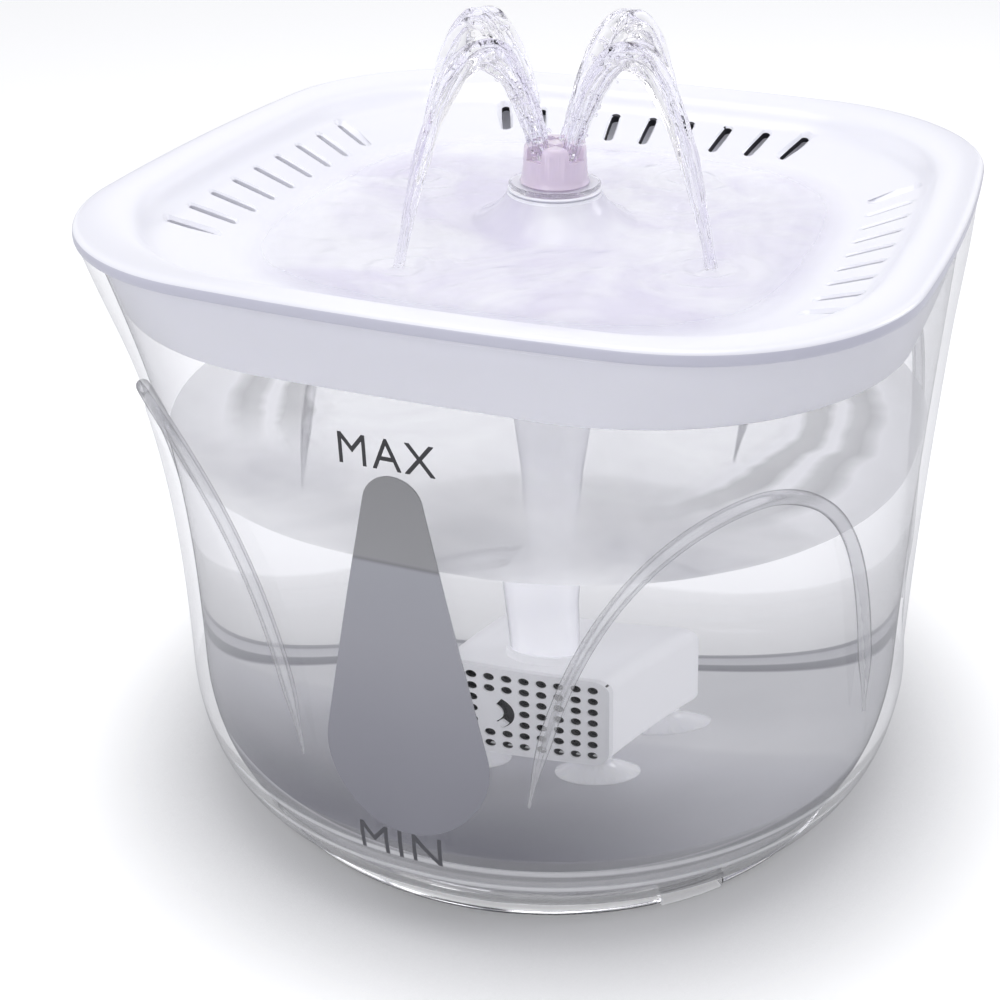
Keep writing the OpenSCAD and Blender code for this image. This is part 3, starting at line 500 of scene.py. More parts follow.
def turnFaces(bm, axis, side):
    # an open sheet's faces towards one side
    if side * sum(face.normal[axis] for face in bm.faces) < 0:
        bmesh.ops.reverse_faces(bm, faces=bm.faces)


def mix(a, b, t):
    return a + (b - a) * t


def ease(t):
    t = min(max(t, 0), 1)
    return t * t * (3 - 2 * t)


# curves of the body
tankShape = {
    "topHalf": 99.4, "lowHalf": 97.8, "height": 158.3, "wall": 3.2, "mouthCorner": 54.4, "sideBow": 5.8,
    "bottomRound": 28, "bottomDraw": 13, "footZ": 6.2, "floorZ": 9.2, "lowShare": 0.985,
    "archTop": 122.5, "archSpan": 29.5, "archRound": 0.56, "archRise": 2.3, "archStep": 1.0, "archEdge": 2.4,
    "archBand": 4.9, "archFoot": 28, "archFade": 14,
}
roundTop = tankShape["footZ"] + 0.8 + tankShape["bottomRound"]
mouthShare = tankShape["mouthCorner"] / tankShape["topHalf"]
degreeLength = tankShape["lowHalf"] * math.pi / 180


def fold(angle):
    # degrees from the middle of the nearest side, 0 to 45
    turn = (math.degrees(angle) + 45) % 90
    return abs(turn - 45)


def bowedSquare(t, half, corner, bow):
    # reach of a square with bowed sides and round corners, t degrees off a side's middle
    t = math.radians(t)
    chord = half - 0.3 * corner
    arcRadius = (chord * chord + bow * bow) / (2 * bow)
    back = arcRadius - half
    c = (math.sqrt(2 * (arcRadius - corner) ** 2 - back * back) - back) / 2
    reach = math.hypot(c, c + back)
    join = math.atan2(c + corner * c / reach, c + corner * (c + back) / reach)
    if t < join:
        return math.sqrt(arcRadius ** 2 - (back * math.sin(t)) ** 2) - back * math.cos(t)
    along = c * (math.sin(t) + math.cos(t))
    return along + math.sqrt(corner * corner - 2 * c * c + along * along)


def bowedAsRim(angle, half, corner):
    return bowedSquare(fold(angle), half, corner, tankShape["sideBow"] * half / traySize["half"])


def heightShare(z):
    return min(max((z - roundTop) / (tankShape["height"] - roundTop), 0), 1)


def bodyHalf(z):
    if z > roundTop:
        return mix(tankShape["lowHalf"], tankShape["topHalf"], heightShare(z) ** 1.6)
    drop = min((roundTop - z) / tankShape["bottomRound"], 1)
    return tankShape["lowHalf"] - tankShape["bottomDraw"] * (1 - math.sqrt(1 - drop * drop))


def bodyRadius(angle, z):
    half = bodyHalf(z)
    share = mix(tankShape["lowShare"], mouthShare, heightShare(z) ** 2.8)
    bow = max(0.15, tankShape["sideBow"] * (1 - share) / (1 - mouthShare))
    return bowedSquare(fold(angle), half, share * half, bow)


def archInside(angle, z):
    # distance from the arch's bead, inwards
    u = max(45 - fold(angle), 0.5) / tankShape["archSpan"]
    power, rise, top = 1 / tankShape["archRound"], tankShape["archRise"], tankShape["archTop"]
    acrossSlope = u ** (power - 1) * power / (tankShape["archSpan"] * degreeLength)
    upSlope = rise * (z / top) ** (rise - 1) / top
    return (1 - u ** power - (z / top) ** rise) / math.hypot(acrossSlope, upSlope)


def archStep(angle, z):
    # how far the wall outside the arch lies behind the corner panel
    top = tankShape["archTop"]
    low = ease((z - tankShape["archFoot"]) / tankShape["archFade"])
    high = 1 - ease((z - top) / (tankShape["height"] - top - 6))
    band = tankShape["archBand"] * min(z / top, 1) ** 2.6
    edge = (archInside(angle, z) - band) / tankShape["archEdge"]
    return low * high * tankShape["archStep"] * (1 - ease(edge + 0.5))


def onFront(x, z, out):
    # a point on the tank's front wall, out millimetres in front of it
    angle = -math.pi / 2 + math.asin(x / tankShape["lowHalf"])
    radius = bodyRadius(angle, z) - archStep(angle, z) + out
    return Vector((radius * math.cos(angle), radius * math.sin(angle), z))


# clear tank
# thin clear wall: what passes, by how far it turns from the eye, and its gloss
thinWall = {
    "tone": [(0.0, (0.98, 0.98, 0.986)), (0.45, (0.97, 0.97, 0.976)), (0.80, (0.905, 0.905, 0.913)),
             (0.93, (0.82, 0.82, 0.83)), (1.0, (0.70, 0.70, 0.715))],
    "ior": 1.24, "gloss": (0.96, 0.96, 0.97),
}

# grey bands low on the outside, by share of the way from low to high: (share, grey, how much they hide)
rings = {"low": 8.0, "high": 30.0, "farSide": 0.3, "steps": (
    (0.00, 0.86, 0.50), (0.16, 0.86, 0.50), (0.20, 0.30, 0.50), (0.44, 0.34, 0.55), (0.475, 0.90, 0.60),
    (0.515, 0.90, 0.60), (0.55, 0.30, 0.55), (0.70, 0.32, 0.55), (0.74, 0.86, 0.60), (0.775, 0.86, 0.55),
    (0.81, 0.28, 0.50), (0.92, 0.28, 0.42), (0.98, 0.50, 0.0))}


def thinClear(name, banded=False):
    # clear wall that dims and mirrors, with nothing bent
    material, tree, skin = newMaterial(name)
    body = seeThrough(tree, ramp(tree, facing(tree), thinWall["tone"]))
    if banded:
        low, high = rings["low"], rings["high"]
        greys = greyStops([(share, grey) for share, grey, _ in rings["steps"]], 1.02)
        covers = greyStops([(share, much) for share, _, much in rings["steps"]], 1)
        fill(tree, skin, {"Base Color": heightRamp(tree, low, high, greys), "Roughness": 0.12})
        near = calc(tree, "MULTIPLY_ADD", backfacing(tree), rings["farSide"] - 1, 1)
        hides = calc(tree, "MULTIPLY", heightRamp(tree, low, high, covers), near)
        body = mixShaders(tree, hides, body, skin.outputs[0])
    mirror = addNode(tree, "BsdfGlossy", {"Color": thinWall["gloss"], "Roughness": 0.03}).outputs[0]
    edge = addNode(tree, "Fresnel", {"IOR": thinWall["ior"]}).outputs[0]
    # only the side that meets the eye mirrors
    met = calc(tree, "SUBTRACT", edge, backfacing(tree), clamp=True)
    letLightThrough(tree, mixShaders(tree, met, body, mirror), 0.985)
    return material


def beadFinish():
    # seen as a soft grey outline and a glint, with nothing bent
    material, tree, skin = newMaterial("beadPlastic")
    fill(tree, skin, {"Base Color": (0.93, 0.93, 0.95), "Roughness": 0.08})
    through = seeThrough(tree, ramp(tree, facing(tree), bead["tone"]))
    letLightThrough(tree, mixShaders(tree, bead["body"], through, skin.outputs[0]), 0.98)
    return material


tankBuild = {"columns": 288, "rows": 62, "innerRows": 44, "lip": 0.6, "floorRound": 1.6, "middle": 40}


def buildTank():
    top, foot, floorZ = tankShape["height"], tankShape["footZ"], tankShape["floorZ"]
    lip, wall, middle = tankBuild["lip"], tankShape["wall"], tankBuild["middle"]
    rows, innerRows = tankBuild["rows"], tankBuild["innerRows"]
    outerHeights = [mix(foot + 0.6, top - lip, (i / rows) ** 1.15) for i in range(rows + 1)]
    innerHeights = [mix(top - lip, floorZ + 1.5, (i / innerRows)) for i in range(innerRows + 1)]
    profile = [(bodyHalf(foot + 0.6) - 1.2, foot)] + [(bodyHalf(z), z) for z in outerHeights]
    profile += [(bodyHalf(top) - lip * 0.3, top - lip * 0.3), (bodyHalf(top) - lip, top)]
    profile += [(bodyHalf(top) - wall + lip, top), (bodyHalf(top) - wall + lip * 0.3, top - lip * 0.3)]
    profile += [(bodyHalf(z) - wall, z) for z in innerHeights]
    floorEdge = tankShape["lowHalf"] - tankShape["bottomDraw"] - wall + tankBuild["floorRound"]
    floorRow = len(profile)
    profile += [(floorEdge + 2.2, floorZ + 0.5), (floorEdge, floorZ), (middle, floorZ), (0, floorZ)]
    profile += [(0, foot), (middle, foot)]
    bm = spunProfile(profile, tankBuild["columns"])
    lastWall = len(outerHeights) + 2

    def reach(row, angle, radius, z):
        if row == 0 or row >= floorRow:
            return radius
        offset = radius - bodyHalf(z)
        step = archStep(angle, z) if row <= lastWall else 0
        return bodyRadius(angle, z) + offset - step

    reshape(bm, reach)
    bm.normal_update()
    for face in bm.faces:
        centre = face.calc_center_median()
        outside = face.normal.x * centre.x + face.normal.y * centre.y > 0
        if outside and foot + 0.3 < centre.z < rings["high"]:
            face.material_index = 1
    walls = [thinClear("clearPlastic"), thinClear("ringedPlastic", banded=True)]
    piece = finishPiece(bm, "tankShell", walls, "tank", smooth=50)
    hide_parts("tank")


bead = {
    "radius": 1.65, "proud": 0.35, "low": 44.0, "fade": 20.0, "samples": 120, "sides": 4, "body": 0.22,
    "tone": [(0.0, (0.97, 0.97, 0.98)), (0.14, (0.95, 0.95, 0.96)), (0.21, (0.70, 0.70, 0.72)),
             (0.32, (0.88, 0.88, 0.89)), (0.60, (0.90, 0.90, 0.91)), (0.82, (0.50, 0.50, 0.52)),
             (1.0, (0.36, 0.36, 0.38))],
}


def buildArchBeads():
    # one rounded bead along each corner arch
    curve, holder = newCurve("archBeads")
    curve.bevel_depth = bead["radius"] * mm
    curve.bevel_resolution = bead["sides"]
    top, span = tankShape["archTop"], tankShape["archSpan"]
    startAngle = math.asin((bead["low"] / top) ** (tankShape["archRise"] / 2))
    for corner in range(4):
        for i, point in enumerate(addPoints(curve, bead["samples"] + 1).points):
            # even steps along the arch need closer angles near its feet
            t = mix(-1, 1, i / bead["samples"])
            angle = math.pi / 2 + (math.pi / 2 - startAngle) * math.copysign(1 - (1 - abs(t)) ** 1.7, t)
            across = math.cos(angle)
            psi = span * math.copysign(abs(across) ** (2 * tankShape["archRound"]), across)
            z = top * math.sin(angle) ** (2 / tankShape["archRise"])
            around = math.radians(45 + 90 * corner - psi)
            out = bodyRadius(around, z) - bead["radius"] + bead["proud"]
            point.co = (out * math.cos(around) * mm, out * math.sin(around) * mm, z * mm, 1)
            point.radius = mix(0.25, 1, ease((z - bead["low"]) / bead["fade"]))
    bm = bmesh.new()
    takeMesh(holder, bm)
    bmesh.ops.remove_doubles(bm, verts=bm.verts, dist=1e-7)
    bmesh.ops.recalc_face_normals(bm, faces=bm.faces)
    finishPiece(bm, "archBeads", [beadFinish()], "tank", smooth=60, inMillimetres=False)


buildTank()
buildArchBeads()
print("tank: shell and arch beads")


# drinking tray
traySize = {
    "half": 100.0, "top": 161.9, "dish": 148.0, "floorHalf": 67.0,
    "slotOut": 84.5, "slotLength": 12.0, "slotWidth": 2.5, "slotPitch": 11.4, "slotCount": 9, "slotFan": 5.5,
    "slotBow": 1200, "slotChamfer": 0.45, "slopeTop": 155.3, "wall": 2.4, "skirtLow": 141.5, "skirtGap": 0.6,
    "holeRadius": 8.9, "hubTop": 11.6, "hubFoot": 29.0, "hubHeight": 10.1, "hubRows": 12,
    "columns": 288, "between": 4,
}
slopeRun = traySize["slotOut"] + 1.2 - traySize["floorHalf"]


def slopeHeight(half):
    dish = traySize["dish"]
    return dish + (traySize["slopeTop"] - dish) * (half - traySize["floorHalf"]) / slopeRun


def trayReach(angle, half, corner, radius, roundness):
    if roundness > 0.999:
        return radius
    return mix(bowedAsRim(angle, half, corner), radius, roundness)


def catmull(a, b, c, d, t):
    squared, cubed = 2 * a - 5 * b + 4 * c - d, 3 * b - 3 * c + d - a
    return 0.5 * (2 * b + (c - a) * t + squared * t * t + cubed * t ** 3)


def fairRows(rows, between):
    # rows of numbers with smooth rows put between them
    made = []
    for i in range(len(rows) - 1):
        four = [rows[max(i - 1, 0)], rows[i], rows[i + 1], rows[min(i + 2, len(rows) - 1)]]
        for step in range(between):
            made.append(tuple(catmull(*numbers, step / between) for numbers in zip(*four)))
    return made + [rows[-1]]


def trayRows():
    # (half width, corner, round radius, roundness, height) from the hub's hole out to the rim and back under
    size, dish, top = traySize, traySize["dish"], traySize["top"]
    hole, hubTop, hubFoot = size["holeRadius"], size["hubTop"], size["hubFoot"]
    hub = []
    for i in range(size["hubRows"] + 1):
        share = i / size["hubRows"]
        radius = mix(hubTop, hubFoot, share ** 1.4)
        hub.append((radius, radius * 0.7, radius, 1.0, dish + size["hubHeight"] * (1 - share) ** 1.7))
    shoulder = slopeHeight(84.5)
    bowl = [(42, 32, 42, 0.75, dish), (55, 42, 53, 0.35, dish), (62, 45, 62, 0, dish),
            (65.6, 46, 66, 0, dish + 0.12), (68.6, 46.4, 69, 0, dish + 0.85),
            (71.5, 47, 72, 0, slopeHeight(71.5)), (76, 48, 76, 0, slopeHeight(76)),
            (80.5, 49.4, 80, 0, slopeHeight(80.5)),
            (84.5, 50.4, 84, 0, shoulder), (86.7, 51, 87, 0, shoulder + 1.7), (88.8, 51.6, 89, 0, top - 2.6),
            (90.9, 51, 91, 0, top - 1.2), (94, 50.5, 94, 0, top - 0.35), (97.2, 52.2, 97, 0, top),
            (98.8, 53.8, 99, 0, top - 0.12), (99.7, 54.7, 100, 0, top - 0.7), (100, 55, 100, 0, top - 1.7),
            (100, 55, 100, 0, top - 2.8), (99.75, 54.75, 100, 0, top - 3.3)]
    upper = fairRows(hub + bowl, size["between"])
    upper = [(hole, hole * 0.7, hole, 1.0, dish + size["hubHeight"] + 0.3)] + upper
    drop, low = size["wall"] * 1.15, dish - size["wall"]
    under = [(87.5, 51, 88, 0, shoulder + 1.7 - drop), (84.5, 50.4, 84, 0, shoulder - drop),
             (72.5, 47, 72, 0, slopeHeight(72.5) - drop), (68, 46, 68, 0, low),
             (hubFoot, 20, hubFoot, 1.0, low), (hole, hole * 0.7, hole, 1.0, low)]
    return upper, under


def slotWall(middle, normal):
    # whether a face, in millimetres, is the wall of a drain slot at the back
    below = slopeHeight(abs(middle.y)) - middle.z
    across = abs(middle.x) < 62 and abs(normal.z) < 0.5
    return across and 60 < middle.y < traySize["slotOut"] + 1 and 0.1 < below < 4


def buildTray():
    upper, under = trayRows()
    size, shoulder, low = traySize, tankShape["height"] + 0.2, traySize["skirtLow"]
    fit = tankShape["wall"] + size["skirtGap"]
    skirt = [(0.4, shoulder), (0, shoulder - 0.4), (0, 150), (0.05, low + 1.0), (0.3, low + 0.3), (0.9, low),
             (1.6, low), (2.0, low + 0.5), (2.5, tankShape["height"] - 1)]
    rows = upper + skirt + under
    profile = [(bodyHalf(row[1]) - fit - row[0] if row in skirt else row[0], row[-1]) for row in rows]

    def reach(number, angle, radius, z):
        row = rows[number]
        if row in skirt:
            return bodyRadius(angle, z) - fit - row[0]
        return trayReach(angle, *row[:4])

    bm = spunProfile(profile, size["columns"])
    reshape(bm, reach)
    tray = finishPiece(bm, "drinkingTray", [trayPlastic], "tray", smooth=38)
    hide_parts("tray")
    cutSlots(tray)
    # painted shade: the rim's upright side is painted darker lavender and the walls of the back slots near
    # black
    tray.data.materials.append(rimPaintedShade)
    tray.data.materials.append(slotPaintedShade)
    for face in tray.data.polygons:
        middle, normal = face.center / mm, face.normal
        outward = normal.x * middle.x + normal.y * middle.y
        if size["top"] - 3.5 < middle.z < size["top"] - 0.5 and outward > 30 and normal.z < 0.45:
            face.material_index = 1
        elif slotWall(middle, normal):
            face.material_index = 2


def stadiumRing(bm, radius, half, height):
    loop = bmesh.ops.create_circle(bm, cap_ends=False, radius=radius, segments=16)["verts"]
    for vert in loop:
        vert.co.x += math.copysign(half, vert.co.x) if abs(vert.co.x) > 1e-6 else 0
        vert.co.z = height
    return list({edge for vert in loop for edge in vert.link_edges})


def cutSlots(tray):
    # drain slots with eased upper edges, square to the slope
    size = traySize
    lean = math.atan2(size["slopeTop"] - size["dish"], slopeRun)
    radius, chamfer = size["slotWidth"] / 2, size["slotChamfer"]
    middle, half = size["slotLength"] / 2, size["slotLength"] / 2 - radius
    count = size["slotCount"] // 2
    bm = bmesh.new()
    for side in range(4):
        for k in range(-count, count + 1):
            one = bmesh.new()
            levels = [stadiumRing(one, radius, half, -7), stadiumRing(one, radius, half, -chamfer),
                      stadiumRing(one, radius + 3 * chamfer, half, 2 * chamfer)]
            for low, high in zip(levels, levels[1:]):
                bmesh.ops.bridge_loops(one, edges=low + high)
            bmesh.ops.holes_fill(one, edges=[edge for edge in one.edges if edge.is_boundary], sides=0)
            bmesh.ops.recalc_face_normals(one, faces=one.faces)
            turn, y = math.radians(k * size["slotFan"]), k * size["slotPitch"]
            x = size["slotOut"] - y * y / size["slotBow"] - middle * math.cos(turn)
            place = Vector((x, y - middle * math.sin(turn), slopeHeight(size["slotOut"] - middle)))
            matrix = (Matrix.Rotation(side * math.pi / 2, 4, "Z") @ Matrix.Translation(place)
                      @ Matrix.Rotation(-lean, 4, "Y") @ Matrix.Rotation(turn, 4, "Z"))
            bmesh.ops.transform(one, matrix=matrix, verts=one.verts)
            held = bpy.data.meshes.new("slot")
            one.to_mesh(held)
            one.free()
            bm.from_mesh(held)
            bpy.data.meshes.remove(held)
    cutAway(tray, bm, smooth=38)


trayPlastic = plasticFinish("trayPlastic", (0.82, 0.82, 0.875), (0.77, 0.765, 0.86), 0.28, flow=0.35,
                            grain=0.02, grainScale=1400, flowScale=9, glossSpread=0.05, coat=0.25,
                            glow=0.08, milky=0.055)
# painted shade for the rim's upright side and for the back slots' walls
rimPaintedShade = plasticFinish("rimPaintedShade", (0.60, 0.60, 0.70), (0.57, 0.565, 0.68), 0.30, flow=0.3, grain=0.02,
                        coat=0.2, glow=0.08)
slotPaintedShade = plasticFinish("slotPaintedShade", (0.035, 0.035, 0.045), (0.02, 0.02, 0.03), 0.5, flow=0.2, grain=0.02)
buildTray()
cleanCopy("hub_sleeve", "hubSleeve", trayPlastic, bevel=0.25)
print("tray: dish, rim, skirt and slots")


# level window and lettering
windowSize = {
    "headRadius": 6.9, "headZ": 118.7, "footRadius": 20.2, "footZ": 52.7, "proud": 0.12, "film": 0.4,
    "columns": 28, "rows": 84, "waterLine": 102.5,
    # by share of the way up, darker towards the bottom; the step at the waterline is painted shade of the
    # water's surface behind
    "shades": [(0.0, (0.185, 0.185, 0.22)), (0.30, (0.25, 0.25, 0.29)), (0.55, (0.32, 0.32, 0.36)),
               (0.765, (0.345, 0.35, 0.39)), (0.773, (0.19, 0.19, 0.205)), (0.781, (0.285, 0.285, 0.295)),
               (1.0, (0.25, 0.25, 0.258))],
}
waterLevel = windowSize["waterLine"]
windowLow = windowSize["footZ"] - windowSize["footRadius"]
windowHigh = windowSize["headZ"] + windowSize["headRadius"]


def windowHalf(z):
    w = windowSize
    lean = math.asin((w["footRadius"] - w["headRadius"]) / (w["headZ"] - w["footZ"]))
    if z > w["headZ"] + w["headRadius"] * math.sin(lean):
        return math.sqrt(max(w["headRadius"] ** 2 - (z - w["headZ"]) ** 2, 0))
    if z < w["footZ"] + w["footRadius"] * math.sin(lean):
        return math.sqrt(max(w["footRadius"] ** 2 - (z - w["footZ"]) ** 2, 0))
    return (w["headRadius"] + (w["headZ"] - z) * math.sin(lean)) / math.cos(lean)


def windowFilm():
    material, tree, skin = newMaterial("windowFilm")
    moulded(tree, skin, Color=heightRamp(tree, windowLow, windowHigh, windowSize["shades"]), Flow=0.16,
            Flow_Scale=14, Grain_Scale=1500, Grain_Depth=0.04, Roughness=0.32, Gloss_Spread=0.08,
            Shade=(0.40, 0.40, 0.45))
    fill(tree, skin, {"Coat Weight": 0.35, "Coat Roughness": 0.08})
    return material


def buildWindow():
    w = windowSize
    bm = bmesh.new()
    bmesh.ops.create_grid(bm, x_segments=w["columns"], y_segments=w["rows"], size=1)
    for vert in bm.verts:
        share = (1 - math.cos(math.pi * (vert.co.y + 1) / 2)) / 2
        z = mix(windowLow, windowHigh, share)
        vert.co = onFront(windowHalf(z) * vert.co.x, z, w["proud"])
    bmesh.ops.remove_doubles(bm, verts=bm.verts, dist=1e-4)
    bmesh.ops.recalc_face_normals(bm, faces=bm.faces)
    turnFaces(bm, 1, -1)
    bmesh.ops.solidify(bm, geom=bm.faces, thickness=-w["film"])
    bmesh.ops.recalc_face_normals(bm, faces=bm.faces)
    window = finishPiece(bm, "levelWindow", [windowFilm()], "tank", smooth=50)
    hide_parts("level_window")


lettering = {
    "thick": 0.22, "proud": 0.03, "thin": -0.006, "spacing": 1.12, "cuts": 24, "paler": 2.2,
    # word: middle across, middle height, letter height, width, ink
    "MAX": (-1.0, 130.4, 7.2, 21.6, (0.024, 0.024, 0.028)),
    "MIN": (-1.9, 27.9, 8.2, 20.9, (0.060, 0.060, 0.070)),
}


def printWord(word):
    aside, middle, tall, wide, ink = lettering[word]
    curve, holder = newCurve("word", "FONT")
    curve.body = word
    curve.offset = lettering["thin"]
    curve.space_character = lettering["spacing"]
    curve.resolution_u = 6
    bm = bmesh.new()
    takeMesh(holder, bm)
    bmesh.ops.remove_doubles(bm, verts=bm.verts, dist=1e-5)
    xs, ys = [v.co.x for v in bm.verts], [v.co.y for v in bm.verts]
    left, right, low, high = min(xs), max(xs), min(ys), max(ys)
    for cut in range(1, lettering["cuts"]):
        # cuts across the letters let them bend with the wall
        plane = Vector((0, mix(low, high, cut / lettering["cuts"]), 0))
        everything = bm.verts[:] + bm.edges[:] + bm.faces[:]
        bmesh.ops.bisect_plane(bm, geom=everything, plane_co=plane, plane_no=(0, 1, 0))
    for vert in bm.verts:
        x = aside + (vert.co.x - (left + right) / 2) / (right - left) * wide
        z = middle + (vert.co.y - (low + high) / 2) / (high - low) * tall
        vert.co = onFront(x, z, lettering["proud"])
    turnFaces(bm, 1, -1)
    bmesh.ops.solidify(bm, geom=bm.faces, thickness=-lettering["thick"])
    bmesh.ops.recalc_face_normals(bm, faces=bm.faces)
    paler = tuple(lettering["paler"] * level for level in ink)
    material = plasticFinish("ink" + word, ink, paler, 0.42, flow=0.4, grain=0.06, flowScale=60)
    finishPiece(bm, "letters" + word, [material], "tank", smooth=30)


buildWindow()
printWord("MAX")
printWord("MIN")
print("level window and lettering")


# foot ring, pads and floor mat
footShape = {
    "outer": 84.7, "wall": 3.6, "low": 0.5, "top": 6.2, "flange": 79.1, "flangeThick": 1.4,
    "grooves": (4.6, 2.9), "grooveDepth": 0.55, "columns": 240,
    "padAngles": (45, 135, 225, 315), "padSpan": 12.0, "padTop": 4.2, "padDeep": 12,
}


def buildFootRing():
    f = footShape
    outer, inner, low = f["outer"], f["outer"] - f["wall"], f["low"]
    face = [(outer - 0.9, f["top"]), (outer - 0.1, f["top"] - 0.25)]
    for height in f["grooves"]:
        face += [(outer, height + 0.5), (outer - 0.1, height + 0.3), (outer - f["grooveDepth"], height),
                 (outer - 0.1, height - 0.3), (outer, height - 0.5)]
    face += [(outer - 0.05, low + 0.9), (outer - 0.5, low + 0.2), (outer - 1.2, low),
             (inner + 0.8, low), (inner + 0.15, low + 0.3), (inner, low + 1.0)]
    under = f["top"] - f["flangeThick"]
    bm = spunProfile(face + [(inner, under), (f["flange"], under), (f["flange"], f["top"])], f["columns"])
    ring = finishPiece(bm, "footRing", [footPlastic], "tank", smooth=30)
    notches = bmesh.new()
    wide = 2 * outer * math.sin(math.radians(f["padSpan"] / 2))
    for degrees in f["padAngles"]:
        place = (Matrix.Rotation(math.radians(degrees), 4, "Z")
                 @ Matrix.Translation((outer - 1, 0, f["padTop"] / 2 - 1))
                 @ Matrix.Diagonal((f["padDeep"], wide, f["padTop"] + 2, 1)))
        bmesh.ops.create_cube(notches, size=1, matrix=place)
    cutAway(ring, notches, smooth=30)
    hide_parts("foot_ring")


matLook = {
    "sheenWay": (0.14, 0.99, 0), "sheenReach": 0.08,       # painted sheen: the mat pales this way, in metres
    "sheen": [(0.0, (0.21, 0.21, 0.245)), (0.14, (0.225, 0.225, 0.26)), (0.35, (0.57, 0.57, 0.60)),
              (0.52, (0.80, 0.80, 0.83)), (0.575, (0.86, 0.86, 0.88)), (0.60, (0.95, 0.95, 0.96)),
              (1.0, (0.98, 0.98, 0.99))],
    # rim with grey bands: by share of the radius between these two, outside the flat
    "rimFrom": 60.0, "rimTo": 85.0, "flat": 67.5,
    "rim": [(0.30, (0.85, 0.85, 0.88)), (0.35, (0.34, 0.34, 0.37)), (0.50, (0.42, 0.42, 0.45)),
            (0.54, (0.86, 0.86, 0.88)), (0.72, (0.80, 0.80, 0.83)), (0.77, (0.45, 0.45, 0.48)),
            (0.86, (0.60, 0.60, 0.63)), (0.90, (0.85, 0.85, 0.88))],
}


def matRubber():
    # satin rubber disc: its own dark grey paling across it as painted sheen, and a pale rim with grey bands
    look = matLook
    material, tree, skin = newMaterial("matRubber")
    along = addNode(tree, "VectorMath", {0: objectPlace(tree), 1: look["sheenWay"]}, operation="DOT_PRODUCT")
    across = spread(tree, along.outputs["Value"], -look["sheenReach"], look["sheenReach"])
    distance = axisDistance(tree)
    outwards = spread(tree, distance, look["rimFrom"] * mm, look["rimTo"] * mm)
    onRim = calc(tree, "GREATER_THAN", distance, look["flat"] * mm)
    colour = blendColours(tree, onRim, ramp(tree, across, look["sheen"]), ramp(tree, outwards, look["rim"]))
    moulded(tree, skin, Color=colour, Flow=0.3, Flow_Scale=22, Grain_Scale=1200, Grain_Depth=0.10,
            Roughness=0.42, Gloss_Spread=0.10, Shade=(0.24, 0.24, 0.28))
    return material


footPlastic = clearFinish("footPlastic", (0.965, 0.968, 0.98), 1.36, lampTint=0.96)
padRubber = clearFinish("padRubber", (0.93, 0.93, 0.95), 1.16, roughness=0.05, lampTint=0.95)
buildFootRing()
cleanCopy("foot_pads", "footPads", padRubber, bevel=0.3)
cleanCopy("floor_mat", "floorMat", matRubber())
print("foot ring, pads and mat")


# nozzle, riser and pump
def recolour(material, change):
    # change(tree, colour) gives what takes the place of a plastic's colour
    tree = material.node_tree
    skin = tree.nodes["Principled BSDF"]
    colour = change(tree, skin.inputs["Base Color"].links[0].from_socket)
    fill(tree, skin, {"Base Color": colour, "Emission Color": colour})


# painted shade: darker where a wall turns away from the eye, as milk-white tubes look
riserEdgeShade = [(0.35, (1, 1, 1)), (0.62, (0.86, 0.86, 0.87)), (0.85, (0.55, 0.55, 0.57)),
              (1.0, (0.38, 0.38, 0.40))]
# painted shade in the pump's hollow: where it lies behind the grille's front, and its dark colour
pumpFront = {"face": -13.9, "halfWidth": 17.2, "low": 15.8, "high": 41.4, "depth": 0.55,
             "dark": (0.03, 0.03, 0.035)}


def shadeEdges(tree, colour):
    return blendColours(tree, 1, colour, ramp(tree, facing(tree), riserEdgeShade), "MULTIPLY")


def shadeInside(tree, colour):
    # painted shade: what lies deeper than the front of the grille is painted dark, as an unlit hollow looks
    place, front = placeParts(tree), pumpFront
    inside = 1
    for operation, value, limit in (("GREATER_THAN", place["Y"], front["face"] + front["depth"]),
                                    ("LESS_THAN", calc(tree, "ABSOLUTE", place["X"]), front["halfWidth"]),
                                    ("GREATER_THAN", place["Z"], front["low"]),
                                    ("LESS_THAN", place["Z"], front["high"])):
        inside = calc(tree, "MULTIPLY", inside, calc(tree, operation, value, limit * mm))
    return blendColours(tree, inside, colour, front["dark"])


nozzlePlastic = plasticFinish("nozzlePlastic", (0.84, 0.76, 0.87), (0.74, 0.63, 0.80), 0.20, flow=0.5,
                              grain=0.02, flowScale=70, coat=0.5, glow=0.35, milky=0.06, clear=(0.35, 1.35))
riserPlastic = plasticFinish("riserPlastic", (0.90, 0.90, 0.92), (0.60, 0.60, 0.64), 0.20, flow=1.0,
                             grain=0.02, flowScale=38, coat=0.3, glow=0.25, milky=0.48, clear=(0.10, 1.30))
pumpGrain = {"flow": 0.35, "grain": 0.12, "grainScale": 1600, "flowScale": 30}
pumpPlastic = plasticFinish("pumpPlastic", (0.84, 0.84, 0.86), (0.76, 0.76, 0.79), 0.40, milky=0.25,
                            **pumpGrain)
grillePlastic = plasticFinish("grillePlastic", (0.82, 0.82, 0.84), (0.74, 0.74, 0.77), 0.40, milky=0.16,
                              **pumpGrain)
leverPlastic = plasticFinish("leverPlastic", (0.84, 0.84, 0.86), (0.76, 0.76, 0.79), 0.38, flow=0.3,
                             grain=0.1, milky=0.12)
cupRubber = plasticFinish("cupRubber", (0.86, 0.86, 0.88), (0.76, 0.76, 0.80), 0.22, flow=0.4, grain=0.03,
                          coat=0.3, glow=0.4, milky=0.10)
collarPlastic = clearFinish("collarPlastic", (0.97, 0.96, 0.99), 1.16)
recolour(riserPlastic, shadeEdges)
recolour(grillePlastic, shadeInside)
recolour(leverPlastic, shadeInside)

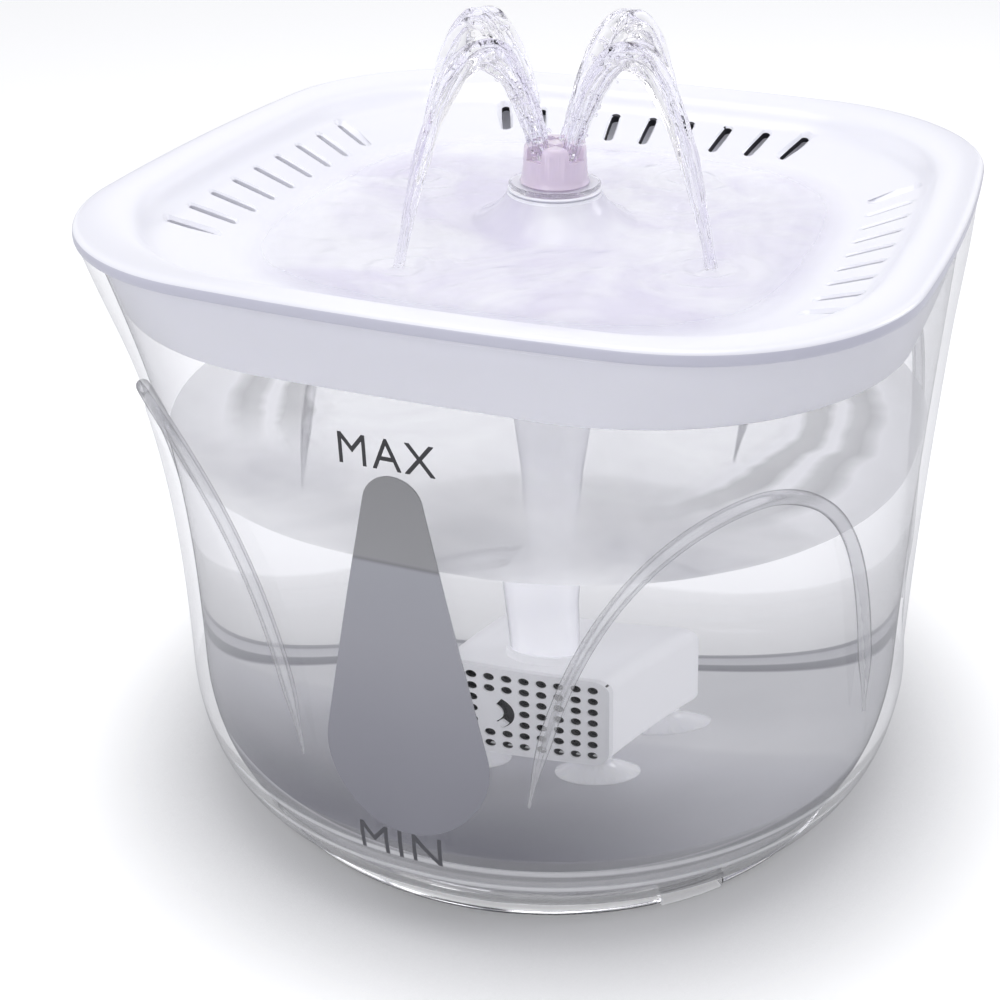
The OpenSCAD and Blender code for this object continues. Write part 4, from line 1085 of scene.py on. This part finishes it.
cleanCopy("nozzle", "nozzleHead", nozzlePlastic, bevel=0.35, segments=3)
cleanCopy("nozzle_collar", "nozzleCollar", collarPlastic)
cleanCopy("riser_tube", "riserTube", riserPlastic, smooth=50)
for nodeName, pieceName, finish, easedBy, steps in (
        ("pump_housing", "pumpHousing", pumpPlastic, 0.6, 3),
        ("pump_grille", "pumpGrille", grillePlastic, 0.22, 2),
        ("flow_lever", "flowLever", leverPlastic, 0.2, 2),
        ("pump_back", "pumpBack", pumpPlastic, 0.5, 2),
        ("cable_gland", "cableGland", pumpPlastic, 0.25, 2)):
    cleanCopy(nodeName, pieceName, finish, easedBy, segments=steps)
for corner in ("fl", "fr", "bl", "br"):
    cleanCopy("suction_cup_" + corner, "suctionCup_" + corner, cupRubber, smooth=50)
print("nozzle, riser and pump")


# filter and pump drive
def fibreMat(name, dark, pale, scale):
    # a mat of fine fibres or foam cells
    material, tree, skin = newMaterial(name)
    place = objectPlace(tree)
    cells = addNode(tree, "TexVoronoi", {"Vector": place, "Scale": scale})
    threads = {"Vector": place, "Scale": scale / 2.5, "Detail": 5, "Distortion": 2.5}
    strands = addNode(tree, "TexNoise", threads)
    blend = calc(tree, "MULTIPLY", cells.outputs["Distance"], strands.outputs["Fac"])
    fill(tree, skin, {"Base Color": ramp(tree, blend, [(0, dark), (0.45, pale)]), "Roughness": 0.9,
                      "Normal": bumpNormal(tree, blend, 0.8, 0.0006)})
    return material


def metalFinish(name, colour, shade, roughness, bandScale, direction="Y", metallic=1.0):
    # rolled, wound or ground metal with fine lines one way
    material, tree, skin = newMaterial(name)
    bands = {"Vector": objectPlace(tree), "Scale": bandScale, "Distortion": 0.4, "Detail": 2}
    lines = addNode(tree, "TexWave", bands, bands_direction=direction).outputs["Fac"]
    fill(tree, skin, {"Base Color": ramp(tree, lines, [(0, shade), (1, colour)]), "Metallic": metallic,
                      "Roughness": spread(tree, lines, 0, 1, roughness, roughness + 0.15),
                      "Normal": bumpNormal(tree, lines, 0.4, 0.0003)})
    return material


filterPlastic = plasticFinish("filterPlastic", (0.72, 0.72, 0.75), (0.64, 0.64, 0.68))
sealRubber = plasticFinish("sealRubber", (0.04, 0.04, 0.045), (0.07, 0.07, 0.08), 0.6, grain=0.3)
impellerPlastic = plasticFinish("impellerPlastic", (0.82, 0.82, 0.84), (0.7, 0.7, 0.74), 0.3)
bobbinPlastic = plasticFinish("bobbinPlastic", (0.75, 0.74, 0.68), (0.66, 0.65, 0.60), 0.4)
shaftCeramic = plasticFinish("shaftCeramic", (0.80, 0.77, 0.70), (0.72, 0.69, 0.62), 0.15, coat=0.4)
magnetFerrite = metalFinish("magnetFerrite", (0.09, 0.09, 0.10), (0.05, 0.05, 0.06), 0.45, 500, metallic=0.3)
steelSheets = metalFinish("steelLaminations", (0.45, 0.45, 0.46), (0.20, 0.20, 0.21), 0.35, 900,
                          direction="Z")
copper = metalFinish("copperWinding", (0.62, 0.28, 0.12), (0.30, 0.12, 0.05), 0.3, 1500, direction="X")
hiddenFinish = {
    "filter_frame": ("filter_plastic", filterPlastic),
    "filter_pad": ("filter_fibre", fibreMat("filterFibre", (0.008, 0.008, 0.010), (0.05, 0.05, 0.055), 900)),
    "riser_seal": ("seal_rubber", sealRubber),
    "prefilter_sponge": ("sponge", fibreMat("spongeFoam", (0.01, 0.01, 0.012), (0.08, 0.08, 0.09), 1300)),
    "volute_cover": ("pump_plastic", pumpPlastic),
    "impeller": ("impeller_plastic", impellerPlastic),
    "rotor_magnet": ("magnet", magnetFerrite),
    "pump_shaft": ("ceramic", shaftCeramic),
    "front_bush": ("seal_rubber", sealRubber),
    "rear_bush": ("seal_rubber", sealRubber),
    "stator_core": ("laminations", steelSheets),
    "coil_bobbin": ("bobbin_plastic", bobbinPlastic),
    "motor_coil": ("copper", copper),
}
for nodeName, (slotName, finish) in hiddenFinish.items():
    part = frame["nodes"][nodeName]
    part.data.materials.clear()
    part.data.materials.append(finish)
print("filter and pump drive")


# water
waterSize = {
    "gap": 0.15, "bottom": 9.0, "middle": 40, "columns": 200, "rows": 34, "rings": 46,
    "dishLevel": 150.3, "dishHalf": 72.6, "dishCorner": 47.4, "dishColumns": 240, "dishRows": 88,
    "landingRadius": 50.0, "nozzleTurn": 20.0,
    "squareness": 3.2, "fade": 16.0, "body": 0.62,      # the dish water's edge and how much it hides
    "hubInner": 11.9, "film": 0.35,                     # and the thin film that runs down the hub
}
landings = [math.radians(waterSize["nozzleTurn"] + 45 + 90 * k) for k in range(4)]


def ringWave(x, y, centreX, centreY, length, fade, height):
    distance = math.hypot(x - centreX, y - centreY)
    return height * math.cos(2 * math.pi * distance / length) * math.exp(-distance / fade)


surfaceLook = {
    "tint": (0.93, 0.93, 0.94), "milk": 0.34,
    "milkRange": [(0.36, (0.74, 0.74, 0.77)), (0.64, (0.97, 0.97, 0.98))],
    # arcs of light and shade near the side walls, by distance from the middle, which the waves swing
    "near": 62.0, "far": 100.0, "swing": 16.0, "arcs": (
        (0.00, 0.86), (0.16, 0.97), (0.22, 0.97), (0.27, 0.44), (0.40, 0.36), (0.46, 0.95), (0.52, 0.97),
        (0.58, 0.50), (0.68, 0.34), (0.74, 0.60), (0.80, 0.93), (1.00, 0.80)),
    # where they fade in: across, and from the front
    "arcSide": (34.0, 56.0), "arcFront": (-62.0, -30.0), "arcBody": 0.62, "passed": 0.20,
    "frontFrom": -38.0, "frontTo": -74.0, "frontMilk": 0.80,
}


def tankWaterTop():
    # still surface that is looked down through without a bend, milk-white, lighter and darker with its
    # ripples as painted light and shade, with painted arcs of reflection and shade near the side walls
    look = surfaceLook
    material, tree, skin = newMaterial("tankWaterTop")
    made = placeGroup(tree, rippleGroup, Scale=14, Depth=0.10)
    place = placeParts(tree)
    swung = calc(tree, "MULTIPLY_ADD", made["Wave"], look["swing"] * mm, axisDistance(tree))
    outwards = spread(tree, swung, look["near"] * mm, look["far"] * mm)
    sideFrom, sideTo = look["arcSide"]
    frontFrom, frontTo = look["arcFront"]
    mask = 1
    for value, first, last in ((outwards, 0.02, 0.2),
                               (calc(tree, "ABSOLUTE", place["X"]), sideFrom * mm, sideTo * mm),
                               (place["Y"], frontFrom * mm, frontTo * mm)):
        mask = calc(tree, "MULTIPLY", mask, spread(tree, value, first, last, smooth=True))
    colour = blendColours(tree, mask, ramp(tree, made["Wave"], look["milkRange"]),
                          ramp(tree, outwards, greyStops(look["arcs"], 1.03)))
    # the colour also glows a little, as painted light
    fill(tree, skin, {"Base Color": colour, "Normal": made["Normal"], "Emission Color": colour,
                      "Emission Strength": look["passed"], "Roughness": 0.05, "IOR": 1.33})
    front = spread(tree, place["Y"], look["frontFrom"] * mm, look["frontTo"] * mm, look["milk"],
                   look["frontMilk"], smooth=True)
    body = spread(tree, mask, 0, 1, front, look["arcBody"])
    letLightThrough(tree, mixShaders(tree, body, seeThrough(tree, look["tint"]), skin.outputs[0]), 0.98)
    return material


def buildTankWater():
    w = waterSize
    low, top, fit = w["bottom"], waterLevel, tankShape["wall"] + w["gap"]
    heights = [mix(low, top, i / w["rows"]) for i in range(w["rows"] + 1)]
    profile = [(0, low), (w["middle"], low)] + [(bodyHalf(z) - fit, z) for z in heights]
    edge = profile[-1][0]
    profile += [(edge * (1 - i / w["rings"]), top) for i in range(1, w["rings"] + 1)]
    bm = spunProfile(profile, w["columns"])
    sideRows = range(2, 3 + w["rows"])

    def reach(row, angle, radius, z):
        if row in sideRows:
            return bodyRadius(angle, z) - fit
        if row > sideRows[-1]:
            return (bodyRadius(angle, z) - fit) * radius / edge
        return radius

    reshape(bm, reach)
    for face in bm.faces:
        if face.calc_center_median().z > top - 1e-3:
            face.material_index = 1
    for vert in bm.verts:
        if vert.co.z > top - 1e-3:
            # the level creeps up the wall and the tube, and trembles in between
            x, y = vert.co.x, vert.co.y
            rim = bodyRadius(math.atan2(y, x), top) - fit - math.hypot(x, y)
            vert.co.z += 0.55 * math.exp(-rim / 1.6) + 0.16 * noise.noise(Vector((x, y, 0)) / 17)
            vert.co.z += ringWave(x, y, 0, 0, 15, 30, 0.16)
    finishPiece(bm, "tankWater", [clearWater, tankWaterTop()], "tank", smooth=60)


def dishWaterFinish():
    # shallow water over white: a pale lavender film, lighter and darker with its waves as painted caustic
    # light and shade, that thins out towards its edge
    w = waterSize
    material, tree, skin = newMaterial("dishWaterFinish")
    made = placeGroup(tree, rippleGroup, Scale=26, Depth=0.55)
    colour = ramp(tree, made["Wave"], [(0.36, (0.77, 0.735, 0.87)), (0.62, (0.93, 0.925, 0.97))])
    fill(tree, skin, {"Base Color": colour, "Normal": made["Normal"], "Roughness": 0.07, "IOR": 1.33})
    # distance from the middle with squarish corners, in metres
    place = placeParts(tree)
    powers = [calc(tree, "POWER", calc(tree, "ABSOLUTE", place[axis]), w["squareness"]) for axis in "XY"]
    reach = calc(tree, "POWER", calc(tree, "ADD", *powers), 1 / w["squareness"])
    outer, inner = w["dishHalf"] * mm, (w["dishHalf"] - w["fade"]) * mm
    edge = spread(tree, reach, outer, inner, 0, w["body"], smooth=True)
    surface(tree, mixShaders(tree, edge, seeThrough(tree, (1, 1, 1)), skin.outputs[0]))
    return material


def buildDishWater():
    # one skin of water, from the hub out to the slope of the dish
    w, count = waterSize, waterSize["dishRows"]
    hubTop, hubFoot = traySize["hubTop"], traySize["hubFoot"]

    def film(radius):
        share = min(1, ((radius - hubTop) / (hubFoot - hubTop)) ** (1 / 1.4))
        return traySize["dish"] + traySize["hubHeight"] * (1 - share) ** 1.7 + w["film"]

    radii = [mix(w["hubInner"], w["dishHalf"], i / count) for i in range(count + 1)]
    profile = [(radius, max(film(radius), w["dishLevel"])) for radius in radii]
    bm = spunProfile(profile, w["dishColumns"], closed=False)

    def reach(row, angle, radius, z):
        half = max(radius, 1)
        square = bowedAsRim(angle, half, min(w["dishCorner"], half * 0.66))
        return mix(radius, square, ease((radius - 30) / 34))

    reshape(bm, reach)
    for vert in bm.verts:
        x, y = vert.co.x, vert.co.y
        distance = math.hypot(x, y)
        calm = ease((68 - distance) / 12) * ease((distance - 20) / 6)
        rise = 0.45 * noise.noise(Vector((x, y, 3)) / 9) + 0.26 * noise.noise(Vector((x, y, 9)) / 4.5)
        for angle in landings:
            landingX = w["landingRadius"] * math.cos(angle)
            landingY = w["landingRadius"] * math.sin(angle)
            rise += ringWave(x, y, landingX, landingY, 6.5, 8, 0.7)
        vert.co.z += rise * mix(0.12, 1, calm)
    turnFaces(bm, 2, 1)
    finishPiece(bm, "dishWater", [dishWaterFinish()], "tray", smooth=70)


streamSize = {
    "top": 195.4, "reach": 25.0, "start": 4.8, "nozzleTop": 170.1, "landing": 150.6, "samples": 96,
    # the ribbon: its section has this many ridges, this deep, and is this flat
    "ridges": 5, "ridgeDepth": 0.13, "flat": 0.86, "sides": 56,
    # radius by share of the way: nozzle, first bend, crown, fall and landing
    "widths": ((0.0, 2.3), (0.18, 3.1), (0.42, 3.9), (0.62, 3.1), (0.8, 2.2), (1.0, 1.3)), "widest": 3.9,
    # loose strands beside it: sideways and upward offset, radius, twist
    "strands": ((3.2, 1.4, 0.55, 1.4), (-3.0, 1.8, 0.5, -1.7), (0.6, -3.4, 0.6, 2.1)),
    "bubbles": 34, "bubbleSpread": 1.5, "bubbleSize": (0.3, 0.85),
}
sag = ((streamSize["top"] - streamSize["nozzleTop"])
       / (streamSize["reach"] - streamSize["start"] - 1) ** 2)
streamEnd = streamSize["reach"] + math.sqrt((streamSize["top"] - streamSize["landing"]) / sag)


def streamPlace(outward, t):
    # t of the way along the middle of a stream
    radius = mix(streamSize["start"], streamEnd, t)
    return outward * radius + Vector((0, 0, streamSize["top"] - sag * (radius - streamSize["reach"]) ** 2))


def alongWidths(t):
    widths = streamSize["widths"]
    for (t0, first), (t1, second) in zip(widths, widths[1:]):
        if t <= t1:
            return mix(first, second, ease((t - t0) / (t1 - t0)))
    return widths[-1][1]


def ridgedSection():
    # closed outline that the ribbons of water are swept with
    s = streamSize
    curve, holder = newCurve("ridgedSection")
    spline = addPoints(curve, s["sides"])
    spline.use_cyclic_u = True
    for i, point in enumerate(spline.points):
        angle = 2 * math.pi * i / s["sides"]
        reach = 1 + s["ridgeDepth"] * math.cos(s["ridges"] * angle + 0.6 * math.sin(2 * angle))
        point.co = (reach * math.cos(angle) * mm, reach * s["flat"] * math.sin(angle) * mm, 0, 1)
    return holder


def buildStreams():
    s = streamSize
    dice = random.Random(7)
    section = ridgedSection()
    ribbons, ribbonHolder = newCurve("ribbons")
    ribbons.bevel_mode = "OBJECT"
    ribbons.bevel_object = section
    strands, strandHolder = newCurve("strands")
    strands.bevel_depth = mm
    strands.bevel_resolution = 3
    for angle in landings:
        outward = Vector((math.cos(angle), math.sin(angle), 0))
        sideways = Vector((-math.sin(angle), math.cos(angle), 0))
        phase = dice.uniform(0, 6.28)
        for i, point in enumerate(addPoints(ribbons, s["samples"] + 1).points):
            t = i / s["samples"]
            place = streamPlace(outward, t) + sideways * 0.4 * math.sin(5 * t + phase)
            point.co = (*(place * mm), 1)
            point.tilt = 1.1 * t + 0.25 * math.sin(6 * t + phase)
            point.radius = alongWidths(t) * (1 + 0.05 * math.sin(23 * t + phase))
        for aside, upward, thick, twist in s["strands"]:
            phase = dice.uniform(0, 6.28)
            for i, point in enumerate(addPoints(strands, s["samples"] + 1).points):
                t = i / s["samples"]
                turn, fan = twist * t * 2, alongWidths(t) / s["widest"]
                place = streamPlace(outward, t)
                place += sideways * (aside * fan * math.cos(turn) + 0.3 * math.sin(7 * t + phase))
                place.z += upward * fan * math.cos(turn * 0.7) + 0.25 * math.sin(9 * t + 2 * phase)
                point.co = (*(place * mm), 1)
                point.radius = thick * mix(1, 0.5, t) * (1 + 0.2 * math.sin(31 * t + phase))
    bm = bmesh.new()
    takeMesh(ribbonHolder, bm)
    takeMesh(strandHolder, bm)
    bpy.data.objects.remove(section)
    bmesh.ops.remove_doubles(bm, verts=bm.verts, dist=1e-7)
    for vert in bm.verts:
        # wobble of the falling water
        vert.co += vert.normal * 0.0003 * noise.noise(vert.co * 260)
    for angle in landings:
        outward = Vector((math.cos(angle), math.sin(angle), 0))
        for _ in range(s["bubbles"]):
            place = streamPlace(outward, dice.random() ** 1.4 * 0.5)
            place += Vector([dice.gauss(0, s["bubbleSpread"]) for _ in range(3)])
            size, move = dice.uniform(*s["bubbleSize"]) * mm, Matrix.Translation(place * mm)
            bmesh.ops.create_icosphere(bm, subdivisions=2, radius=size, matrix=move)
    bmesh.ops.recalc_face_normals(bm, faces=bm.faces)
    streams = finishPiece(bm, "waterStreams", [streamWater], "nozzle", 80, inMillimetres=False)
    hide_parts("water_streams")


clearWater = clearFinish("clearWater", (0.955, 0.955, 0.965), 1.33, lampTint=0.98,
                         leaving=(0.985, 0.985, 0.985))
streamWater = clearFinish("streamWater", (0.965, 0.96, 0.985), 1.24, ripple=(110, 0.22))
buildTankWater()
buildDishWater()
buildStreams()
print("water: tank, dish and streams")
